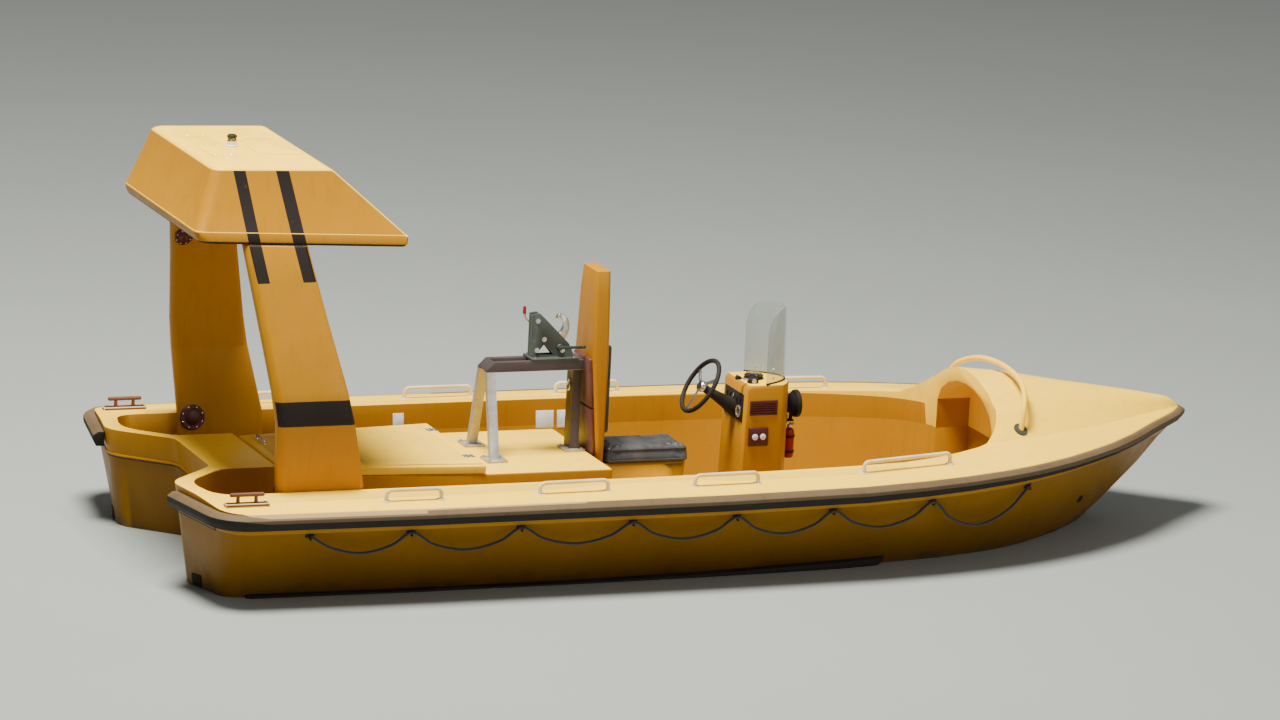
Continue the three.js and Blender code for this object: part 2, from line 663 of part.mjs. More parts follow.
// The console's front bulges forward in the middle.
function consoleBody() {
  const { x0, sideX, middleX, top, halfWidth, edge } = CONSOLE;
  const foot = SOLE_TOP + GAP;
  const profile = shapeOf([
    [x0 - 20, foot], [middleX, foot], [middleX, top - edge], [middleX - 14, top], [x0 + 22, top], [x0, top - 26],
  ]);
  const plan = new THREE.Shape();
  plan.moveTo(x0 - 30, -halfWidth);
  plan.lineTo(sideX - 20, -halfWidth);
  plan.lineTo(sideX, -halfWidth + 12);
  plan.quadraticCurveTo(2 * middleX - sideX, 0, sideX, halfWidth - 12);
  plan.lineTo(sideX - 20, halfWidth);
  plan.lineTo(x0 - 30, halfWidth);
  return solid(prismAcross(profile, -halfWidth, halfWidth, 16)).intersect(solid(prismUp(plan, 0, top + 10)));
}

// The wheel's column widens towards the sloped aft face of the console, where it ends.
function steeringColumn(consoleSolid) {
  const profile = [[0, 24], [26, 24], [26, 70], [40, 190], [62, 300], [62, 380], [0, 380]]
    .map(([r, along]) => new THREE.Vector2(r, along));
  const axis = new THREE.Vector3(Math.cos(WHEEL.tilt), 0, -Math.sin(WHEEL.tilt));
  const turn = new THREE.Quaternion().setFromUnitVectors(new THREE.Vector3(0, 1, 0), axis);
  const column = new THREE.LatheGeometry(profile, 16).applyQuaternion(turn).translate(WHEEL.x, 0, WHEEL.z);
  return solid(column).subtract(consoleSolid).translate([-GAP, 0, 0]);
}

// The steering wheel is laid out about its hub with its axis along Z.
function steeringWheel() {
  const { radius, rim } = WHEEL;
  const circle = new THREE.Shape();
  for (let i = 0; i < 8; i += 1) {
    const angle = (2 * Math.PI * (i + 0.5)) / 8;
    const point = [radius + rim * Math.cos(angle), rim * Math.sin(angle)];
    if (i === 0) circle.moveTo(...point);
    else circle.lineTo(...point);
  }
  const points = circle.getPoints();
  const profile = [...points, points[0]].map((p) => new THREE.Vector2(p.x, p.y));
  const ring = new THREE.LatheGeometry(profile, 32).rotateX(Math.PI / 2);
  const hub = new THREE.CylinderGeometry(34, 38, 30, 16).rotateX(Math.PI / 2).translate(0, 0, -6);
  const spokes = [60, 180, 300].map((degrees) => new THREE.BoxGeometry(radius, 26, 9)
    .translate(radius / 2, 0, 0)
    .rotateZ(THREE.MathUtils.degToRad(degrees)));
  return join([ring, hub, ...spokes].map(solid));
}

// A curved sheet, raked aft, with rounded top corners.
function windshield() {
  const { foot, top, halfWidth, edgeX, footX, topX, thick } = SHIELD;
  const arc = (middleX, inset) => {
    const rows = [];
    for (let i = -5; i <= 5; i += 1) {
      const t = i / 5;
      rows.push([middleX - (middleX - edgeX) * t * t - inset, t * (halfWidth - 0.3 * inset)]);
    }
    return rows;
  };
  const ring = (middleX, z) => [...arc(middleX, 0), ...arc(middleX, thick).reverse()]
    .map(([x, y]) => new THREE.Vector3(x, y, z));
  const face = new THREE.Shape();
  const radius = 90;
  face.moveTo(-halfWidth - 20, foot - 10);
  face.lineTo(halfWidth + 20, foot - 10);
  face.lineTo(halfWidth + 20, foot + 120);
  face.lineTo(halfWidth - 10, top - radius);
  face.quadraticCurveTo(halfWidth - 20, top, halfWidth - 20 - radius, top);
  face.lineTo(-halfWidth + 20 + radius, top);
  face.quadraticCurveTo(-halfWidth + 20, top, -halfWidth + 10, top - radius);
  face.lineTo(-halfWidth - 20, foot + 120);
  return solid(loft([ring(footX, foot), ring(topX, top)], 'x', 'y'))
    .intersect(solid(prismAlong(face, edgeX - 60, footX + 60)));
}

// The lever leans aft over the console's edge.
function throttleControl() {
  const base = CONSOLE.top + GAP;
  const [x, y] = [532, -120];
  const lever = new THREE.LineCurve3(new THREE.Vector3(x, y, base + 14), new THREE.Vector3(x - 92, y, base + 36));
  const parts = [
    box(x - 32, x + 32, y - 24, y + 24, base, base + 30),
    rod(lever, 7, 1, 10),
    new THREE.SphereGeometry(17, 12, 8).translate(x - 96, y, base + 37),
  ];
  return join(parts.map(solid));
}

function compass() {
  const profile = [[0, 0], [62, 0], [62, 12], [52, 18], [47, 29], [32, 40], [0, 45]]
    .map(([r, z]) => new THREE.Vector2(r, z));
  return new THREE.LatheGeometry(profile, 20).rotateX(Math.PI / 2).translate(585, 0, CONSOLE.top + GAP);
}

function searchlight() {
  const wall = CONSOLE.middleX + GAP;
  const pad = box(wall, wall + 8, -36, 36, 655, 705);
  const bracket = box(wall + 4, wall + 56, -24, 24, 660, 672);
  const stem = new THREE.CylinderGeometry(12, 12, 50, 12).rotateX(Math.PI / 2).translate(wall + 42, 0, 695);
  const lamp = new THREE.CylinderGeometry(86, 52, 76, 20).rotateZ(-Math.PI / 2).translate(wall + 44, 0, 768);
  return join([pad, bracket, stem, lamp].map(solid));
}

function extinguisher() {
  const wall = CONSOLE.middleX + GAP;
  const profile = [[0, 0], [28, 0], [32, 8], [32, 165], [24, 185], [12, 192], [12, 217], [0, 217]]
    .map(([r, z]) => new THREE.Vector2(r, z));
  const bottle = new THREE.LatheGeometry(profile, 20).rotateX(Math.PI / 2).translate(wall + 38, 0, 431);
  const bracket = box(wall, wall + 28, -18, 18, 452, 590);
  return join([bottle, bracket].map(solid));
}

// Arch

function archLeg(side) {
  const top = LEG_SECTIONS.at(-1)[0];
  const rings = LEG_SECTIONS.map(([z, aft, fore]) => {
    const corner = (x, outside, inset) => {
      const height = z < top ? z : hoodFloor(x) - GAP;
      const outer = between(LEG_SECTIONS, height, 3);
      const y = outside ? outer - inset : outer - between(LEG_SECTIONS, height, 4) + inset;
      return new THREE.Vector3(x, side * y, height);
    };
    return [
      corner(aft + LEG_CHAMFER.x, true, 0), corner(fore - 20, true, 0), corner(fore, true, 20),
      corner(fore, false, 20), corner(fore - 20, false, 0), corner(aft + 20, false, 0),
      corner(aft, false, 20), corner(aft, true, LEG_CHAMFER.y),
    ];
  });
  return loft(rings, 'x', 'y');
}

// Height of the hood's underside, which drops a little towards the front.
function hoodFloor(x) {
  return THREE.MathUtils.mapLinear(x, -3225, -1960, 2040, 1988);
}

// Height of the hood's top, which rises a little towards the stern.
function hoodTop(x) {
  return THREE.MathUtils.mapLinear(x, -3105, -2420, HOOD.topZ, HOOD.foreTopZ);
}

function archHood() {
  const side = shapeOf([
    [-3225, hoodFloor(-3225)], [-1960, hoodFloor(-1960)], [-1940, 2042], [-2396, 2440],
    [-2420, hoodTop(-2420)], [-3105, hoodTop(-3105)], [-3126, 2462], [-3246, 2100],
  ]);
  const { topHalf, lean, topZ, cornerRadius } = HOOD;
  const halfAt = (z) => topHalf + lean * (topZ - z);
  const section = shapeOf(mirrored([
    [0, 1900], [halfAt(1900), 1900], [halfAt(2442), 2442], [topHalf - 14, 2468], [topHalf - 14, 2600], [0, 2600],
  ]));
  const plan = new THREE.Shape();
  const outer = 800;
  const r = cornerRadius;
  plan.moveTo(-1800, outer);
  plan.lineTo(-1800, -outer);
  plan.lineTo(-3240 + r, -outer);
  plan.quadraticCurveTo(-3240, -outer + 0.4 * r, -3256, -outer + 1.8 * r);
  plan.lineTo(-3256, outer - 1.8 * r);
  plan.quadraticCurveTo(-3240, outer - 0.4 * r, -3240 + r, outer);
  return solid(prismAcross(side, -800, 800))
    .intersect(solid(prismAlong(section, -3300, -1850)))
    .intersect(solid(prismUp(plan, 1900, 2600)));
}

function legCover(side, x, z, radius) {
  const rows = LEG_SECTIONS.map(([height, , , outer, thick]) => [height, outer - thick]);
  const inner = between(rows, z, 1);
  const slope = (between(rows, z + 40, 1) - between(rows, z - 40, 1)) / 80;
  const disc = new THREE.CylinderGeometry(radius, radius, 14, 24).rotateX(-side * Math.atan(slope));
  return disc.translate(x, side * (inner - 7.6 - GAP), z);
}

function mastheadLight() {
  const base = new THREE.CylinderGeometry(28, 40, 30, 16).rotateX(Math.PI / 2).translate(0, 0, 15);
  const cap = new THREE.CylinderGeometry(30, 30, 42, 16).rotateX(Math.PI / 2).translate(0, 0, 50);
  return join([base, cap].map(solid)).translate([LIGHT_X, 0, hoodTop(LIGHT_X - 40) + GAP]);
}

// Deck fittings

// Rails on the gunwale. Columns: name, x of the aft foot, x of the fore foot, half width at each.
const GRAB_RAILS = [
  ['aft', -2190, -1850, 1250, 1250],
  ['mid', -1230, -800, 1235, 1225],
  ['fore', -245, 160, 1215, 1205],
  ['bow', 880, 1480, 1110, 1010],
];
const RAIL_HEIGHT = 66;
const RAIL_RADIUS = 12;

function deckHeight(x, y) {
  const edge = between(STATIONS, x, 1) - 9;
  const edgeZ = between(STATIONS, x, 2);
  const width = between(CROWN, x, 1);
  const foot = between(CROWN, x, 2);
  return THREE.MathUtils.mapLinear(Math.abs(y), edge, width, edgeZ, foot);
}

function grabRail(side, [, x0, x1, y0, y1], deck) {
  const foot = (x, y) => [x, side * y, deckHeight(x, y) - 10];
  const top = (x, y) => [x, side * y, deckHeight(x, y) + RAIL_HEIGHT];
  const path = bentPath([foot(x0, y0), top(x0, y0), top(x1, y1), foot(x1, y1)], 30);
  const bar = solid(rod(path, RAIL_RADIUS, 10));
  return bar.subtract(deck).translate([0, 0, GAP]);
}

function sternCleat(side, deck) {
  const [x, y] = [-3036, 1225];
  const z = deckHeight(x, y);
  const parts = [
    box(x - 135, x + 135, y - 28, y + 28, z - 12, z + 9),
    box(x - 66, x - 44, y - 10, y + 10, z, z + 62),
    box(x + 44, x + 66, y - 10, y + 10, z, z + 62),
    new THREE.CylinderGeometry(13, 13, 210, 12).rotateZ(Math.PI / 2).translate(x, y, z + 68),
  ];
  const cleat = join(parts.map(solid)).subtract(side > 0 ? deck : deck.mirror([0, 1, 0]));
  const raised = cleat.translate([0, 0, GAP]);
  return side > 0 ? raised : raised.mirror([0, 1, 0]);
}

function bowHoop(deck) {
  const half = [[2120, 588, 640], [2148, 562, 820], [2205, 400, 915], [2240, 0, 960]];
  const points = [...half, ...half.slice(0, -1).map(([x, y, z]) => [x, -y, z]).reverse()];
  const curve = new THREE.CatmullRomCurve3(points.map((p) => new THREE.Vector3(...p)), false, 'centripetal');
  return solid(rod(curve, 17, 24)).subtract(deck).translate([0, 0, GAP]);
}

// Lifelines: where the eyes are along the side, how far they sit under the deck edge, how far
// the line stands off the side there, and how deep each loop hangs.
const EYES = [-2690, -2072, -1388, -685, -22, 605, 1280, 1995];
const EYE_DROP = 145;
const EYE_REACH = 22;
const LINE_SAG = [112, 118, 112, 116, 120, 126, 190];
const LINE_RADIUS = 9;

function sideWidth(x, z) {
  const [lip, lipZ, chine, chineZ] = [3, 4, 5, 6].map((column) => between(STATIONS, x, column));
  return THREE.MathUtils.mapLinear(z, chineZ, lipZ, chine, lip);
}

function lifeline(side) {
  const points = [];
  const eyeAt = (x) => {
    const z = between(STATIONS, x, 2) - EYE_DROP;
    return new THREE.Vector3(x, side * (sideWidth(x, z) + EYE_REACH), z);
  };
  EYES.forEach((eye, i) => {
    const here = eyeAt(eye);
    points.push(here);
    if (i === EYES.length - 1) return;
    const next = eyeAt(EYES[i + 1]);
    for (const t of [0.2, 0.5, 0.8]) {
      const drop = LINE_SAG[i] * 4 * t * (1 - t);
      points.push(here.clone().lerp(next, t).add(new THREE.Vector3(0, 0, -drop)));
    }
  });
  return rod(new THREE.CatmullRomCurve3(points), LINE_RADIUS, 56, 8);
}

// Assembly

const hullSolid = hull();
const deckSolid = deckMoulding();
addPiece('hull', hullSolid, 'gelcoat');
addPiece('deck_moulding', deckSolid, 'deck');
addPiece('cockpit_sole', cockpitSole(), 'sole');
addPiece('rub_rail', rubRail(), 'fender');

for (const [label, side] of [['port', 1], ['starboard', -1]]) {
  addPiece(`chine_strake_${label}`, chineStrake(side, hullSolid), 'rubber');
  addPiece(`arch_leg_${label}`, archLeg(side), 'gelcoat');
  addPiece(`leg_cover_low_${label}`, legCover(side, -2698, 592, 78), 'maroon');
  addPiece(`leg_cover_high_${label}`, legCover(side, -2845, 1752, 58), 'maroon');
  addPiece(`stern_cleat_${label}`, sternCleat(side, deckSolid), 'stainless');
  for (const row of GRAB_RAILS) {
    addPiece(`grab_rail_${row[0]}_${label}`, grabRail(side, row, deckSolid), 'stainless');
  }
  addPiece(`lifeline_${label}`, lifeline(side), 'rope');
}

addPiece('engine_casing', engineCasing(), 'gelcoat');
addPiece('engine_hatch', engineHatch(), 'deck');
addPiece('engine_block', box(ENGINE.x0, ENGINE.x1, -ENGINE.halfWidth, ENGINE.halfWidth, ENGINE.z0, ENGINE.z1), 'engine');
addPiece('lifting_frame', liftingFrame(), 'steel');
addPiece('hook_block', hookBlock(), 'darkMetal');
addPiece('lifting_hook', liftingHook(), 'stainless').position.set(HOOK.pinX, 0, HOOK.pinZ);

addPiece('seat_base', seatBase(), 'gelcoat');
addPiece('seat_back', seatBack(), 'gelcoat');
addPiece('seat_cushion', softBlock(-416, SEAT.x1 + 20, 165, SEAT.top + 1, SEAT.top + SEAT.cushion), 'vinyl');

const consoleSolid = consoleBody();
addPiece('steering_console', consoleSolid, 'gelcoat');
addPiece('steering_column', steeringColumn(consoleSolid), 'rubber');
const wheel = addPiece('steering_wheel', steeringWheel(), 'rubber');
wheel.position.set(WHEEL.x, 0, WHEEL.z);
wheel.rotation.y = -(Math.PI / 2 - WHEEL.tilt);
addPiece('windshield', windshield(), 'glass');
addPiece('throttle_control', throttleControl(), 'darkMetal');
addPiece('compass', compass(), 'rubber');
addPiece('searchlight', searchlight(), 'rubber');
addPiece('extinguisher', extinguisher(), 'red');

addPiece('arch_hood', archHood(), 'gelcoat');
addPiece('masthead_light', mastheadLight(), 'lamp');
addPiece('bow_hoop', bowHoop(deckSolid), 'deck');

addPiece('jet_housing', jetHousing(), 'aluminium');
addPiece('jet_nozzle', jetNozzle(), 'aluminium').position.set(JET.nozzleX, 0, JET.z);
addPiece('reverse_bucket', reverseBucket(), 'aluminium').position.set(JET.nozzleX + PIVOT.bucketX, 0, JET.z);
addPiece('intake_grille', intakeGrille(), 'steel');

export default boat;
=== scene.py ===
"""Mouldings, fittings, ropes, upholstery and finishes of a fast rescue lifeboat.

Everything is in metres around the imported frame: X to the bow, Y to port, Z up from the waterline.
"""

import functools
import json
import math

import bmesh
import bpy
from bpy.props import FloatProperty, FloatVectorProperty, IntProperty, PointerProperty
from mathutils import Matrix, Vector
from mathutils.bvhtree import BVHTree
from mathutils.geometry import interpolate_bezier

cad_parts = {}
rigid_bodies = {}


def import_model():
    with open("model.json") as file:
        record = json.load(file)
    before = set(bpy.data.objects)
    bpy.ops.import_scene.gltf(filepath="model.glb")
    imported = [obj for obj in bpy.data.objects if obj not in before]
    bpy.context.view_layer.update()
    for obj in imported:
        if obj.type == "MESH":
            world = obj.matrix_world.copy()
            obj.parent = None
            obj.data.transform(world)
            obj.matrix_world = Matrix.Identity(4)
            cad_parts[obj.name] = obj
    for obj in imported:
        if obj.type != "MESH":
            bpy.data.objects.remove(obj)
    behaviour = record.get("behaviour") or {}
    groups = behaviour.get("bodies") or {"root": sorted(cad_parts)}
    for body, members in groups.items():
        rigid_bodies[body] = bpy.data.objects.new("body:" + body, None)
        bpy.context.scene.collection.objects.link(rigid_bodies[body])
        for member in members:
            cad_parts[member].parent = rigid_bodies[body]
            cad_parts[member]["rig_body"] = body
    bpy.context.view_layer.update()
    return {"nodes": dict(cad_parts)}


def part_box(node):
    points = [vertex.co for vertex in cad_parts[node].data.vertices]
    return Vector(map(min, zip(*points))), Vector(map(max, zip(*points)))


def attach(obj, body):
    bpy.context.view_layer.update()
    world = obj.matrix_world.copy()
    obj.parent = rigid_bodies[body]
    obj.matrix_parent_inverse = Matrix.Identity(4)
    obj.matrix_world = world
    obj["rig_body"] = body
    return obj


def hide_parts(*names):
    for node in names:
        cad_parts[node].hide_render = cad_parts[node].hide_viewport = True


bl_info = {
    "name": "Rescue lifeboat fit-out",
    "version": (1, 0, 0),
    "blender": (4, 5, 0),
    "location": "View3D > Sidebar > Lifeboat",
    "description": "Dresses the frame of a fast rescue lifeboat with mouldings, fittings and finishes",
    "category": "Mesh",
}

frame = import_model()
SIDES = (("port", 1), ("starboard", -1))
UP = Vector((0, 0, 1))

# Camera. The photograph's camera, found from pairs of like points on both sides of the boat:
# its place, and the directions of its right, up and back. The lens is longer so that the boat
# fills the frame, aimed at the pixel in the boat's middle.
CAMERA_PLACE = (-16.5987, -42.3430, 11.3393)
CAMERA_AXES = (
    (0.93601, -0.34863, 0.04836),
    (0.04270, 0.24888, 0.96759),
    (-0.34936, -0.90361, 0.24784),
)
PHOTO_SIZE = (1280, 720)
PHOTO_FOCAL_PIXELS = 1851.08
AIM_PIXEL = (645, 308)
SENSOR_WIDTH = 36.0
CLOSER = 4.15

# Lifelines. Columns: x of the eye, distance of the line from the middle, height. Sag of each loop.
EYES = (
    (-2.690, 1.3826, 0.4250),
    (-2.072, 1.3937, 0.4250),
    (-1.388, 1.3889, 0.4250),
    (-0.685, 1.3799, 0.4257),
    (-0.022, 1.3669, 0.4275),
    (0.605, 1.3385, 0.4317),
    (1.280, 1.2580, 0.4406),
    (1.995, 1.0449, 0.4549),
)
SAGS = (0.112, 0.118, 0.112, 0.116, 0.120, 0.126, 0.190)
SPREADS = (0.2, 0.5, 0.8)

# Height of the deck edge. Columns: x, height.
SHEER = (
    (-3.45, 0.570), (-1.0, 0.570), (-0.1, 0.572), (0.8, 0.578), (1.2, 0.584), (1.5, 0.590), (1.8, 0.596),
    (2.0, 0.600), (2.3, 0.608), (2.68, 0.620), (2.9, 0.628), (3.15, 0.640), (3.3, 0.650), (3.5, 0.668),
)

# The hull's well under the deck and the casing: x from and to, half width, height from and to.
WELL = (-2.8, 2.7, 1.06, 0.09, 0.435)

# Treads on the gunwales: x of the aft end, number of lengths, length of each, lift and thickness.
TREADS = (-2.95, 36, 0.115, 0.0012, 0.0032)

# Rails on the gunwale. Columns: name, x of the aft foot, x of the fore foot, half width at each.
GRAB_RAILS = (
    ("aft", -2.190, -1.850, 1.250, 1.250),
    ("mid", -1.230, -0.800, 1.235, 1.225),
    ("fore", -0.245, 0.160, 1.215, 1.205),
    ("bow", 0.880, 1.480, 1.110, 1.010),
)
RAIL_HEIGHT = 0.066
RAIL_RADIUS = 0.012

# Fender. The top of its black foot lies this far under the deck edge, and this much higher round
# the pods. Over it comes the tan side, and aft of the highlight's end a paler band over that, a
# painted highlight along the fender's top. The stations round the pods are added to the sheer's.
FENDER_FOOT_DROP = 0.047
FENDER_POD_RISE = 0.020
FENDER_SIDE_HEIGHT = 0.030
FENDER_HIGHLIGHT_END = -1.9
POD_STATIONS = (-3.30, -3.25, -3.20, -3.15, -3.05, -2.95)

# Joint of deck and hull round the stern, from the middle to the fender. Columns: x, distance from
# the middle. The stern leans, so at the joint's height it lies further forward.
STERN_JOINT = (
    (-2.980, 0), (-2.980, 0.300), (-3.012, 0.378), (-3.240, 0.592), (-3.308, 0.665), (-3.304, 0.740),
    (-3.226, 1.180),
)
STERN_LEAN = 0.0208

# Arch: the two stripes and the band on each outer face. Stripe columns: x of the aft edge at
# the top and at the foot; both run from the hood's top down to the foot height.
STRIPES = ((-3.005, -2.890), (-2.746, -2.611))
STRIPE_WIDTHS = (0.074, 0.080)
STRIPE_FOOT = 1.81
STRIPE_TOP = 2.45
BAND = (1.005, 1.150)

# Hood. Its foot and its top are straight and sink towards the bow: x, height there, fall per metre.
# Each end leans one way near its foot and another above: height where the lean starts, x there,
# run per metre of rise. The sides lean in: half width at the top, and its growth per metre below.
HOOD_FOOT = (-3.225, 2.040, 0.0411)
HOOD_TOP = (-3.105, 2.467, 0.0248)
HOOD_AFT = ((2.040, -3.225, -0.35), (2.100, -3.246, 0.3315))
HOOD_FORE = ((1.988, -1.960, 0.37), (2.042, -1.940, -1.1457))
HOOD_SIDE = (0.632, 0.279)
HOOD_CORNERS = (0.075, 0.022)
HOOD_LINE_HEIGHT = 0.0145

# Lifting frame: foot of its dark rails, partly painted shade, and its legs' places. Columns: x, y, width
# across.
FRAME_RAIL_FOOT = 1.049
FRAME_LEG_DEPTH = 0.056
FRAME_LEGS = ((-1.150, 0.205, 0.044), (-1.150, -0.205, 0.044), (-0.583, 0, 0.104))

# Wheel: its centre, and the turn that leans its axis back towards the helm.
WHEEL_PLACE = Matrix.Translation((0.240, 0, 0.900)) @ Matrix.Rotation(math.radians(-58), 4, "Y")

# Stage: soft panels, with name, place, target, diameter and power in watts, and the backdrop.
PANELS = (
    ("Sky panel", (-3.8, -1.2, 16.2), (0, 0, 0.5), 6, 8800),
    ("Front panel", (6, -16, 7), (0, 0, 0.6), 9, 760),
)
PANEL_COLOUR = (1.0, 0.96, 0.84)
BACKDROP_COLOUR = (0.92, 0.92, 0.90, 1)
BACKDROP_STRENGTH = 0.26
FLOOR_TONES = ((0.26, 0.285, 0.29), (0.29, 0.315, 0.32))


# Settings


class LifeboatFinish(bpy.types.PropertyGroup):
    """Colours of the boat's main finishes."""

    hull_colour: FloatVectorProperty(
        name="Hull", description="Gelcoat of the hull, arch, seat and console",
        subtype="COLOR", size=3, min=0, max=1, default=(0.40, 0.172, 0.0005),
    )
    # The deck colour is a paler copy of the gelcoat for faces that look up: painted sky light.
    deck_painted_light_colour: FloatVectorProperty(
        name="Deck", description="Gelcoat of the deck, hatch and hood top",
        subtype="COLOR", size=3, min=0, max=1, default=(1.0, 0.63, 0.035),
    )
    fender_colour: FloatVectorProperty(
        name="Fender", description="Weathered rubber round the deck edge",
        subtype="COLOR", size=3, min=0, max=1, default=(0.105, 0.068, 0.032),
    )
    pad_colour: FloatVectorProperty(
        name="Pad", description="Vinyl of the pad behind the seat back",
        subtype="COLOR", size=3, min=0, max=1, default=(0.085, 0.012, 0.014),
    )
    frame_colour: FloatVectorProperty(
        name="Lifting frame", description="Dull galvanised steel",
        subtype="COLOR", size=3, min=0, max=1, default=(0.36, 0.35, 0.34),
    )


class LifeboatSizes(bpy.types.PropertyGroup):
    """Sizes of what is laid over the frame."""

    arch_radius: FloatProperty(
        name="Arch radius", description="Rounding of the arch legs' edges",
        default=0.016, min=0.002, max=0.03, unit="LENGTH",
    )
    rope_radius: FloatProperty(
        name="Rope radius", description="Half the thickness of the lifelines",
        default=0.009, min=0.003, max=0.02, unit="LENGTH",
    )
    rope_strands: IntProperty(
        name="Strand turns per metre", description="How tightly the lifelines are laid",
        default=28, min=5, max=80,
    )
    cushion_swell: FloatProperty(
        name="Cushion swell", description="Most that a point of the seat cushion may move as it fills",
        default=0.012, min=0.002, max=0.03, unit="LENGTH",
    )
    floor_size: FloatProperty(
        name="Floor size", description="Side of the studio floor",
        default=400, min=20, max=600, unit="LENGTH",
    )


def finish_settings():
    return bpy.context.scene.lifeboat_finish


def size_settings():
    return bpy.context.scene.lifeboat_sizes


# Shader helpers


def add_node(tree, kind, sockets=None, **settings):
    made = tree.nodes.new(kind)
    for name, value in settings.items():
        setattr(made, name, value)
    for name, value in (sockets or {}).items():
        if isinstance(value, bpy.types.NodeSocket):
            tree.links.new(value, made.inputs[name])
        else:
            made.inputs[name].default_value = value
    return made


def blank_material(name, **sockets):
    """A material with one Principled shader. Socket names are given with underscores."""
    material = bpy.data.materials.new(name)
    material.use_nodes = True
    tree = material.node_tree
    tree.nodes.clear()
    shader = add_node(tree, "ShaderNodeBsdfPrincipled", {k.replace("_", " "): v for k, v in sockets.items()})
    add_node(tree, "ShaderNodeOutputMaterial", {"Surface": shader.outputs["BSDF"]})
    return material, tree, shader


def connect(tree, shader, **sockets):
    """Links values to a shader's sockets. Socket names are given with underscores."""
    for name, value in sockets.items():
        tree.links.new(value, shader.inputs[name.replace("_", " ")])


def place_on(tree, scale=(1, 1, 1), source="Object"):
    """Coordinates for a pattern, drawn out or squeezed by a scale."""
    coordinates = add_node(tree, "ShaderNodeTexCoord").outputs[source]
    return add_node(tree, "ShaderNodeMapping", {"Vector": coordinates, "Scale": scale}).outputs["Vector"]


def noise_on(tree, vector, scale, detail, roughness=0.55):
    sockets = {"Vector": vector, "Scale": scale, "Detail": detail, "Roughness": roughness}
    return add_node(tree, "ShaderNodeTexNoise", sockets).outputs["Fac"]


def cells_on(tree, vector, scale, output="Distance"):
    return add_node(tree, "ShaderNodeTexVoronoi", {"Vector": vector, "Scale": scale}).outputs[output]


def spread(tree, value, low, high, to_low=0.0, to_high=1.0):
    """Maps a range of a value onto another, and holds it there past the ends."""
    sockets = {"Value": value, "From Min": low, "From Max": high, "To Min": to_low, "To Max": to_high}
    return add_node(tree, "ShaderNodeMapRange", sockets, clamp=True).outputs["Result"]


def calculate(tree, operation, first, second=0.0):
    return add_node(tree, "ShaderNodeMath", {0: first, 1: second}, operation=operation).outputs["Value"]


def as_colour(value):
    """A colour socket as it is, or three channels with full cover."""
    return value if isinstance(value, bpy.types.NodeSocket) else (*value, 1)


def mix_colours(tree, factor, first, second):
    sockets = {0: factor, 6: as_colour(first), 7: as_colour(second)}
    return add_node(tree, "ShaderNodeMix", sockets, data_type="RGBA").outputs[2]


def relief(tree, height, distance, strength, under=None):
    """Bumps that are painted on, over the bumps under them."""
    sockets = {"Height": height, "Distance": distance, "Strength": strength}
    if under is not None:
        sockets["Normal"] = under
    return add_node(tree, "ShaderNodeBump", sockets).outputs["Normal"]


def height_of(tree):
    """Object height above the waterline."""
    coordinates = add_node(tree, "ShaderNodeTexCoord")
    return add_node(tree, "ShaderNodeSeparateXYZ", {"Vector": coordinates.outputs["Object"]}).outputs["Z"]


def shade(colour, factor):
    return tuple(min(1.0, channel * factor) for channel in colour)


# Finishes


def gelcoat(name, colour, waterline=False):
    """Satin gelcoat: slow fading, fine orange peel, faint run marks, and by the waterline a band darker
    towards the bottom, and grime.
    """
    material, tree, shader = blank_material(name, Specular_IOR_Level=0.18)
    point = place_on(tree)
    fading = spread(tree, noise_on(tree, point, 1.1, 3), 0.35, 0.7)
    faded = mix_colours(tree, 0.07, colour, (0.66, 0.40, 0.03))
    base = mix_colours(tree, fading, colour, faded)
    runs = spread(tree, noise_on(tree, place_on(tree, (9, 9, 0.7)), 2.2, 5), 0.52, 0.78, 0, 0.30)
    base = mix_colours(tree, runs, base, shade(colour, 0.62))
    specks = spread(tree, noise_on(tree, point, 42, 2), 0.68, 0.78, 0, 0.35)
    base = mix_colours(tree, specks, base, shade(colour, 0.55))
    if waterline:
        height = height_of(tree)
        wander = spread(tree, noise_on(tree, point, 3.5, 5), 0.3, 0.7, -0.06, 0.06)
        ragged = calculate(tree, "ADD", height, wander)
        # Darker towards the bottom of the hull.
        low = spread(tree, ragged, 0.02, 0.34, 0.55, 0.0)
        base = mix_colours(tree, low, base, shade((colour[0], colour[1] * 1.02, colour[2]), 0.52))
        scum = spread(tree, ragged, -0.02, 0.06, 0.75, 0.0)
        base = mix_colours(tree, scum, base, (0.075, 0.06, 0.022))
    gloss = spread(tree, noise_on(tree, point, 6, 5), 0.3, 0.75, 0.30, 0.52)
    peel = relief(tree, noise_on(tree, point, 120, 2), 0.0006, 0.35)
    waves = relief(tree, noise_on(tree, point, 5, 2), 0.004, 0.25, peel)
    connect(tree, shader, Base_Color=base, Roughness=gloss, Normal=waves)
    return material


def non_slip(name, colour, cell=0.007):
    """Moulded tread: small raised grains, worn smooth and dirty in patches."""
    material, tree, shader = blank_material(name, IOR=1.48)
    point = place_on(tree)
    grains = cells_on(tree, point, 1 / cell)
    wear = spread(tree, noise_on(tree, point, 2.4, 6), 0.35, 0.75)
    base = mix_colours(tree, wear, colour, shade(colour, 0.80))
    # Darker in the pits between the grains: painted shade.
    pit_shade = spread(tree, grains, 0.35, 0.75, 0, 0.35)
    base = mix_colours(tree, pit_shade, base, shade(colour, 0.55))
    stains = spread(tree, noise_on(tree, point, 9, 6, 0.7), 0.58, 0.78, 0, 0.30)
    base = mix_colours(tree, stains, base, shade((colour[0] * 0.9, colour[1] * 0.9, colour[2]), 0.5))
    raised = relief(tree, spread(tree, grains, 0.15, 0.6, 1.0, 0.0), 0.0012, 0.6)
    connect(tree, shader, Base_Color=base, Roughness=spread(tree, wear, 0, 1, 0.68, 0.5), Normal=raised)
    return material


